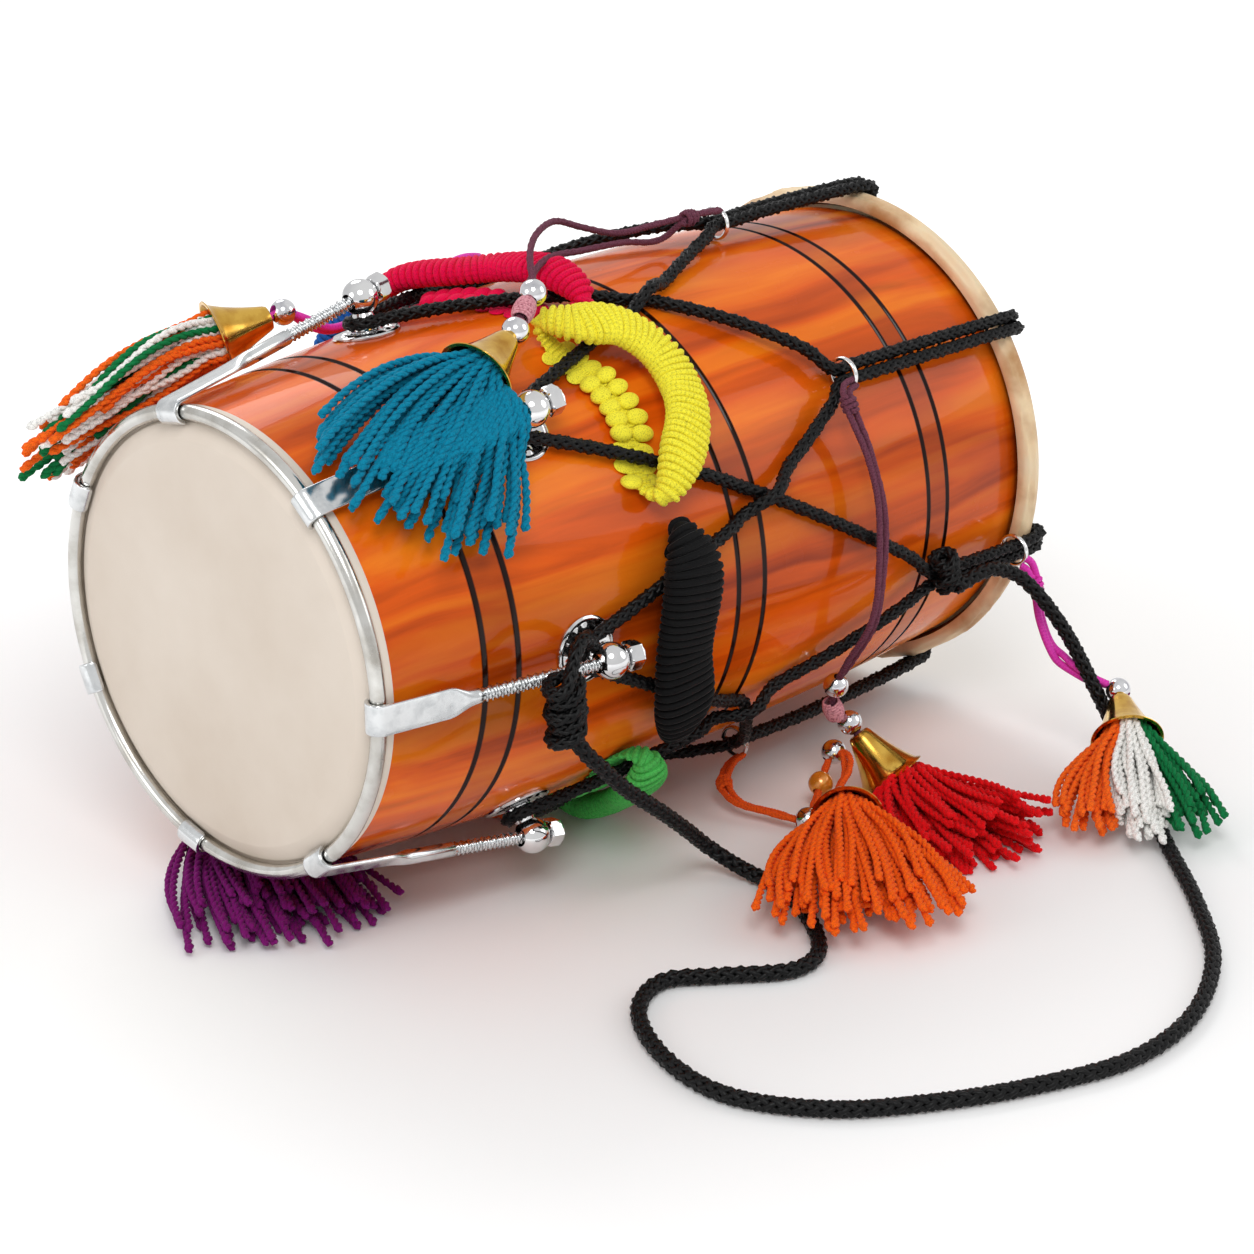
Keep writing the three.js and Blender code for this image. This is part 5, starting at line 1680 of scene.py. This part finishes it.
@dataclass
class Tassel:
    """One tassel: split ring, doubled cord with its knot and beads, bell and tuft."""

    name: str
    pair: int
    cord: tuple
    beads: dict
    mouth: Point
    end: Point
    spread: Point
    cord_stuff: Stuff
    tufts: tuple
    seed: int
    ring_x: float | None = None
    second: tuple = ()
    over_rods: bool = False
    over_strap: bool = False
    under_rods: bool = False
    thick: float = 13.0
    strand: float = 3.6
    cord_gap: float = 2.6
    bead: float = 9.3
    bead_hole: float = 3.4
    ring_inner: float = 9.5
    ring_steps: int = 48
    bell_top: float = 8.0
    bell_mouth: float = 26.0
    bell_length: float = 39.0
    bell_hole: float = 4.2
    bell_sheet: float = 0.9
    crown: float = 1.2
    yarn: float = 2.6
    tuft_inner: float = 18.6
    tuft_root: float = 8.0
    end_sizes: tuple = (1.38, 1.3, 0.75)
    tip: float = 1.6
    edge_lag: float = -14.0
    hoop_edge: float = -8.0
    rods_end: float = 175.0
    rods_radius: float = 170.0
    strap_top: float = 10.4
    strands: int = 76
    grown: float = 1.1
    curl: float = 1.0
    mixed: bool = False

    def __post_init__(self) -> None:
        """Works out the bell's axis and where the cord enters it."""
        self.body = f"tassel_{self.name}"
        self.beads_from = min(self.beads)
        self.marks = [Vector(m) for m in self.cord]
        self.mouth_place = Vector(self.mouth)
        self.axis = (self.mouth_place - self.marks[-1]).normalized()
        self.top = self.mouth_place - self.axis * self.bell_length
        if len(self.marks) - 1 in self.beads:
            self.marks[-1] = self.top - self.axis * (self.bead + FIT_GAP)

    def ring_place(self, lacing: Lacing) -> Vector:
        """The ring's centre on its pair of strands."""
        x = lacing.gather_x(self.pair) if self.ring_x is None else self.ring_x
        return lacing.pair_place(self.pair, x)

    def route(self, lacing: Lacing) -> Path:
        """The cord's path from the ring into the bell."""
        ring = self.ring_place(lacing)
        wire = self.ring_inner + RING_WIRE
        away = self.marks[0] - ring
        away.x = 0
        start = ring + away.normalized() * wire
        inside = [self.top + self.axis * s for s in (-FIT_GAP, self.crown + self.strand)]
        return smooth_path([start, *self.marks, *inside], 3.0)

    def lay(self, name: str, strands: Strands, paths: list[Path], stuff: Stuff,
            node: str = "") -> bpy.types.Object:
        """Lays strands for one of the tassel's pieces and settles it on the tassel's body."""
        piece = strands.lay_along(f"{self.body}_{name}", paths, stuff.material())
        return settle(piece, self.body, self.cord_stuff.slot, *([f"{self.body}_{node}"] if node else []))

    def build_ring(self, lacing: Lacing) -> bpy.types.Object:
        """The split ring: two touching turns of wire."""
        centre = self.ring_place(lacing)
        around, steps = self.ring_inner + RING_WIRE, self.ring_steps
        path = []
        for i in range(2 * steps + 1):
            a = math.tau * i / steps
            out = RING_WIRE * 0.9 * (i / steps - 1)
            path.append(centre + Vector((out, around * math.cos(a), around * math.sin(a))))
        return self.lay("ring", Strands(1, 0.0, RING_WIRE, step=1.2, sides=8), [path], Stuff.CHROME)

    def doubled(self, path: Path) -> list[Path]:
        """The cord's two lengths, which lie side by side and close up at the beads and the bell."""
        doubles: list[Path] = [[], []]
        stops = [self.marks[i] for i in self.beads] + [self.top]
        for i, place in enumerate(path):
            tangent, out = heading(path, i), Vector((0, place.y, place.z)).normalized()
            side = tangent.cross(out)
            side = side.normalized() if side.length > 0.05 else tangent.orthogonal().normalized()
            near = min([(place - stop).length for stop in stops] + [60.0])
            apart = self.cord_gap * (0.25 + 0.75 * min(1.0, max(0.0, (near - 9) / 14)))
            apart *= 1.0 + 0.22 * math.sin(i * 0.21 + self.seed)
            doubles[0].append(place + side * apart)
            doubles[1].append(place - side * apart)
        return doubles

    def build_cord(self, lacing: Lacing) -> None:
        """The doubled cord with its ring, its knot, its beads and its bell."""
        path = self.route(lacing)
        doubles = self.doubled(path)
        strand = SMOOTH_CORD if self.cord_stuff is Stuff.MAGENTA_CORD else LAID_CORD
        if self.second:
            second = [Vector(m) for m in self.second]
            marks = [path[0], self.marks[1], *second, *self.marks[self.beads_from:], path[-1]]
            doubles[1] = smooth_path(marks, 3.0)
            path = doubles[0]
        with_pieces = [self.build_ring(lacing), self.build_knot(path)]
        if self.second:
            with_pieces.append(self.lay("second_cord", strand, [doubles.pop()], self.cord_stuff))
        cord = self.lay("cords", strand, doubles, self.cord_stuff, "cord")
        with_pieces += [self.build_bead(index, stuff) for index, stuff in self.beads.items()]
        with_pieces.append(self.build_bell())
        metres = [Place.metres(p) for p in path]

    def build_knot(self, path: Path) -> bpy.types.Object:
        """The knot that closes the doubled cord on its ring: turns wound round the cords."""
        at = min(range(len(path)), key=lambda i: (path[i] - self.marks[1]).length)
        tangent = heading(path, at, 2)
        turns, rise, wide = 3, 3.6, 4.6
        wound = wind(self.marks[1], tangent, turns, 18, lambda share, a: (
            (share - 0.5) * rise * turns, wide * (1 - 0.25 * (2 * share - 1) ** 2)))
        return self.lay("knot", Strands(3, 0.9, 1.15, 7.0, step=1.6), [wound], self.cord_stuff)

    def build_bead(self, index: int, stuff: Stuff) -> bpy.types.Object:
        """A bead: a bored ball, or turns of thread where it is wound."""
        centre = self.marks[index]
        after = self.marks[index + 1] if index + 1 < len(self.marks) else self.top
        along = (after - self.marks[index - 1]).normalized()
        if stuff is Stuff.PINK_BEAD:

            def lie(share: float, _: float) -> tuple[float, float]:
                """A barrel shape."""
                s = (share - 0.5) * 2 * (self.bead - 1.2)
                return s, 6.6 * math.sqrt(max(0.2, 1 - (s / (self.bead * 1.3)) ** 2))

            thread = wind(centre, along, 9, 22, lie)
            return self.lay(f"bead_{index}", Strands(1, 0.0, 0.95, step=1.6), [thread], stuff)
        ball = ball_mesh(centre, self.bead - 0.4, self.bead_hole, along)
        return put(f"{self.body}_bead_{index}", ball, stuff, self.body, sharp=50.0, slot=self.cord_stuff.slot)

    def build_bell(self) -> bpy.types.Object:
        """The thin brass bell with its flared, rolled mouth."""
        long, top, mouth, brass = self.bell_length, self.bell_top, self.bell_mouth, self.bell_sheet
        outside, inside = [], []
        steps = 16
        for i in range(steps + 1):
            u, last = i / steps, i == steps
            radius = top + (mouth - 1.6 - top) * (0.72 * u + 0.28 * u**3)
            outside.append((long * u - (0.8 if last else 0), radius + (1.0 if last else 0)))
            inside.append((max(brass, long * u), radius - brass))
        rim = [(long - 0.6, mouth - 0.2), (long, mouth - 0.4), (long, mouth - 1.4)]
        crown = [(0, self.bell_hole), (0, top - 1.2), (0.4, top - 0.3)]
        profile = [*crown, *outside[1:], *rim, *inside[:0:-1], (brass, self.bell_hole)]
        bell = turned(profile, 72, axis_matrix(self.top, self.axis))
        return put(f"{self.body}_bell_shell", bell, Stuff.BRASS, self.body, f"{self.body}_bell", sharp=35.0)

    def clear(self, place: Vector, lugs: Lugs, margin: float) -> Vector:
        """Keeps a place off the barrel, the rods, the strap rope and the floor."""
        angle = math.degrees(math.atan2(-place.y, place.z))
        rod = HOOP_RADIUS + 2 * lugs.claw / math.cos(lugs.lean) + place.x * math.tan(lugs.lean) + lugs.rod
        radius = math.hypot(place.y, place.z)
        if place.x > self.hoop_edge:
            least = BARREL.radius(place.x) + margin
            if radius < least:
                place = BARREL.around(place.x, angle, least)
                radius = least
        nearest = min(abs((angle - BARREL.lug(k) + 180) % 360 - 180) for k in range(BARREL.lugs))
        reach = math.degrees((lugs.strap_width / 2 + margin) / self.rods_radius)
        if self.over_rods and nearest < reach and radius < rod + margin and place.x < self.rods_end:
            place = BARREL.around(place.x, angle, rod + margin)
        if self.under_rods and nearest < reach:
            place.z = min(place.z, -rod * math.cos(math.radians(BARREL.lug(4) - 180)) - margin)
        strap = self.strap_top if self.over_strap else 0.0
        place.z = max(place.z, -Place.shift.z + FLOOR_GAP + strap + margin)
        return place

    def yarn_marks(self, u: float, v: float, ring: float, sides: tuple,
                   rng: random.Random) -> tuple[Path, float]:
        """Where one yarn of the tuft passes.

        Args:
            u: its place in the bell's mouth along the fan, from -1 to 1.
            v: its place across the fan.
            ring: its distance from the mouth's middle, from 0 to 1.
            sides: the ways along and across the fan at the mouth.
            rng: where its length and its waves are drawn.

        Returns:
            The marks, and the phase of its waves.
        """
        spread = Vector(self.spread) * (0.5 + 0.5 * self.grown)
        end = self.mouth_place + (Vector(self.end) - self.mouth_place) * self.grown
        bend = self.mouth_place + self.axis * (self.bell_length * 0.8)
        inner, root, radius = self.tuft_inner, self.tuft_root, self.yarn
        along, over = sides
        start = self.mouth_place + along * (u * inner) + over * (v * inner)
        rooted = self.top + self.axis * (self.bell_length * 0.35) + along * (u * root) + over * (v * root)
        length = rng.uniform(0.8, 1.02) * (1 - 0.1 * ring)
        marks = [rooted, start]
        wave, phase = rng.uniform(1.0, 2.6), rng.uniform(0, 6.28)
        for share in (0.2, 0.36, 0.52, 0.68, 0.84, 1.0):
            t = share * length
            centre = (self.mouth_place * (1 - t) ** 2 + bend * (2 * t * (1 - t)) + end * t**2)
            slope = ((bend - self.mouth_place) * (2 * (1 - t)) + (end - bend) * (2 * t)).normalized()
            across = spread - slope * spread.dot(slope)
            across.normalize()
            up = slope.cross(across)
            wide = inner + (spread.length - radius - inner) * t
            high = inner + (self.thick - radius - inner) * math.sqrt(t)
            bulge = 1 + 0.12 * math.sin(math.pi * share)
            sway = math.sin(phase + share * 5.2) * wave * share * self.curl
            lag = self.edge_lag * (ring**2) * t * abs(u)
            marks.append(centre + across * (u * wide * bulge + sway) + up * (v * high * bulge + sway * 0.4)
                         + slope * lag)
        return marks, phase

    def build_tuft(self, lugs: Lugs) -> None:
        """The tuft: two-ply yarn ends that spread from the bell's mouth to a fan."""
        rng = random.Random(self.seed)
        radius = self.yarn
        groups: dict[Stuff, tuple[list, list]] = {stuff: ([], []) for stuff in self.tufts}
        spread = Vector(self.spread) * (0.5 + 0.5 * self.grown)
        along = spread - self.axis * spread.dot(self.axis)
        along.normalize()
        sides = (along, self.axis.cross(along))
        for number in range(self.strands):
            ring = math.sqrt((number + 0.5) / self.strands)
            a = number * math.pi * (3 - math.sqrt(5))
            u, v = ring * math.cos(a), ring * math.sin(a)
            marks, phase = self.yarn_marks(u, v, ring, sides, rng)
            marks = [marks[0]] + [self.clear(p, lugs, radius + 0.5) for p in marks[1:]]
            path = smooth_path(marks, 4.0)
            path = [self.clear(p, lugs, radius + 0.4) if i > 5 else p for i, p in enumerate(path)]
            sizes = [1.0 + 0.06 * math.sin(i * 1.9 + phase) for i in range(len(path))]
            sizes[-2:] = self.end_sizes[:2]
            tip = (path[-1] - path[-2]).normalized()
            path.append(self.clear(path[-1] + tip * self.tip, lugs, radius))
            sizes.append(self.end_sizes[2])
            stuff = self.tufts[min(len(self.tufts) - 1, int((u * 0.5 + 0.5) * 0.999 * len(self.tufts)))]
            if self.mixed:
                stuff = rng.choice(self.tufts)
            groups[stuff][0].append(path)
            groups[stuff][1].append(sizes)
        node = (f"{self.body}_yarn",)
        for stuff, (paths, sizes) in groups.items():
            if not paths:
                continue
            tuft = Strands(2, radius * 0.46, radius * 0.62, 12.5, step=2.3).lay_along(
                f"{self.body}_{stuff.slot}", paths, stuff.material(), sizes=sizes)
            settle(tuft, self.body, "tricolour_yarn" if len(self.tufts) > 1 else stuff.slot, *node)
            node = ()

    def build(self, lacing: Lacing, lugs: Lugs) -> None:
        """Builds the whole tassel."""
        self.build_cord(lacing)
        self.build_tuft(lugs)


S, P, G = Stuff.SILVER_BEAD, Stuff.PINK_BEAD, Stuff.GOLD_BEAD
TRICOLOUR = (Stuff.SAFFRON_TUFT, Stuff.WHITE_TUFT, Stuff.GREEN_TUFT)
TASSELS = (
    Tassel("blue", 0, ((436, -8, 196), (411, -13, 198), (385, -6, 196), (360, 2, 194), (325, 0, 205),
                       (293, -7, 217), (262, -24, 220), (237, -42, 215), (208, -70, 199), (193, -77, 192),
                       (178, -85, 184)), {8: S, 9: P, 10: S}, (134, -95, 166), (52, -128, 118), (-52, 44, 37),
           Stuff.PLUM_CORD, (Stuff.BLUE_TUFT,), 11, over_rods=True, second=(
               (397, 0, 183), (361, 0, 188), (314, -7, 193), (267, -22, 200), (231, -44, 198)), grown=1.36),
    Tassel("red", 1, ((410, -160, 109), (404, -168, 101), (411, -180, 68), (415, -189, 32), (413, -193, -6),
                      (410, -190, -50), (410, -170, -86), (411, -157, -108), (415, -152, -129),
                      (427, -158, -142)),
           {7: S, 8: P, 9: S}, (436, -189, -177), (405, -291, -181), (58, 26, 4), Stuff.PLUM_CORD,
           (Stuff.RED_TUFT,), 12, grown=1.3, thick=27.0, strands=96, curl=2.2),
    Tassel("orange", 3, ((368, -99, -172), (349, -110, -178), (343, -128, -184), (350, -152, -186),
                         (359, -179, -186), (376, -171, -182), (393, -161, -176), (418, -151, -163),
                         (414, -165, -160), (402, -177, -165), (386, -184, -169)), {4: S, 6: G, 7: S},
           (350, -222, -169), (281, -297, -172), (57, -35, 0), Stuff.ORANGE_CORD, (Stuff.ORANGE_TUFT,), 13,
           over_strap=True, grown=1.5, strands=96, curl=1.6),
    Tassel("tricolour_right", 2, ((580, -191, -56), (583, -196, -70), (578, -206, -93), (575, -222, -113),
                                  (580, -246, -126), (589, -269, -133)), {5: S}, (558, -301, -152),
           (506, -352, -172), (45, -38, 0), Stuff.MAGENTA_CORD, TRICOLOUR, 14, ring_x=0.976 * 591,
           over_strap=True, grown=1.4, curl=1.4),
    Tassel("tricolour_left", 6, ((366, 143, 137), (352, 139, 145), (330, 116, 160), (300, 107, 165),
                                 (262, 103, 151), (235, 101, 147), (212, 100, 146), (180, 99, 145),
                                 (143, 101, 164)), {8: S}, (100, 118, 152), (-14, 160, 84), (0, 36, -45),
           Stuff.MAGENTA_CORD, TRICOLOUR[::-1], 15, over_rods=True, strands=96, curl=4.0, mixed=True),
    Tassel("purple", 4, ((386, 86, -176), (374, 88, -179), (340, 92, -185), (280, 98, -188), (215, 103, -188),
                         (175, 103, -182), (146, 105, -167), (117, 107, -152)), {6: S, 7: S},
           (80, 80, -168.5), (16, -47, -185), (74, -26, 0), Stuff.MAGENTA_CORD, (Stuff.PURPLE_TUFT,), 16,
           under_rods=True, thick=12.0, grown=1.2, strands=96, curl=2.0),
)


# Strap rope


@dataclass
class Strap:
    """The loose rope strap with its two knots."""

    radius: float = 5.0
    knot_ride: float = 3.2
    knot_swell: float = 1.5
    front_knot: Point = (109, -198, -17)
    rear_knot: Point = (490, -187, -36)
    front_hitch: tuple = ((151, -180, 6), (140, -187, 18), (122, -196, 20))
    route: tuple = (
        (130, -174, -28), (131, -187, -52), (150, -188, -74), (172, -186, -96), (211, -182, -128),
        (240, -178, -153), (262, -175, -173), (274, -191, -186), (276, -222, -190.2), (262, -262, -190.2),
        (226, -305, -190.2), (200, -309, -190.2), (160, -280, -190.2), (131, -260, -190.2),
        (97, -272, -190.2), (66, -320, -190.2), (58, -378, -190.2), (88, -433, -190.2), (140, -474, -190.2),
        (196, -504, -190.2), (256, -525, -190.2), (321, -522, -190.2), (394, -489, -190.2),
        (454, -434, -190.2), (509, -372, -190.2), (545, -335, -190.2), (575, -303, -188), (585, -278, -171),
        (579, -258, -135), (573, -228, -90), (554, -205, -55), (528, -198, -43), (492, -195, -47.6))

    def knot_piece(self, name: str, centre: Point, along: Point, turns: float, tall: float, wide: float,
                   head: tuple = (), tail: tuple = ()) -> bpy.types.Object:
        """A knot: the rope wound round itself.

        Args:
            name: the piece's name.
            centre: the knot's middle.
            along: the way that it stands.
            turns: how often the rope goes round.
            tall: height from the first turn to the last.
            wide: radius of the turns.
            head: places that the rope passes before the knot.
            tail: places that it passes after it.

        Returns:
            The knot.
        """

        def lie(share: float, a: float) -> tuple[float, float]:
            """Turns that ride up and down and in and out."""
            ride, swell = self.knot_ride * math.sin(a + 0.9), self.knot_swell * math.sin(a * 0.5 + 0.6)
            return (share - 0.5) * tall + ride, wide + swell

        wound = wind(Vector(centre), Vector(along).normalized(), turns, 16, lie)
        marks = [*(Vector(m) for m in head), *wound, *(Vector(m) for m in tail)]
        knot = BRAID.lay_along(name, [smooth_path(marks, 3.0)], Stuff.BLACK_ROPE.material())
        return settle(knot, "drum", Stuff.BLACK_ROPE.slot)

    def build(self) -> None:
        path = smooth_path([Vector(p) for p in self.route], 4.0)
        braid = Strands(8, 3.1, 1.9, 34.0, crossing=0.95, opposed=True, step=2.4, sides=7)
        rope = braid.lay_along("strap_braid", [path], Stuff.BLACK_ROPE.material())
        settle(rope, "drum", Stuff.BLACK_ROPE.slot, "strap_rope")
        front = self.knot_piece("strap_knot_front", self.front_knot, (0.1, 0.04, -1), 4.4, 38.0, 9.2,
                                self.front_hitch, self.route[1:2])
        rear = self.knot_piece("strap_knot_rear", self.rear_knot, (0.25, 0, -1), 3.3, 22.0, 6.4)
        metres = [tuple(Place.metres(p)) for p in path]


# The whole drum


def main() -> None:
    """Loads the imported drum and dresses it, sub-assembly by sub-assembly."""
    logging.basicConfig(level=logging.INFO, format="%(name)s: %(message)s")
    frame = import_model()
    Place.settle(frame["record"])
    studio = Studio()
    studio.camera()
    lugs, lacing = Lugs(), Lacing()
    Strap().build()
    for tassel in TASSELS:
        tassel.build(lacing, lugs)
    Shell().build()
    lugs.build()
    lacing.build()
    Sleeves().build(lacing)
    studio.floor()
    studio.light()


if __name__ == "__main__":
    main()
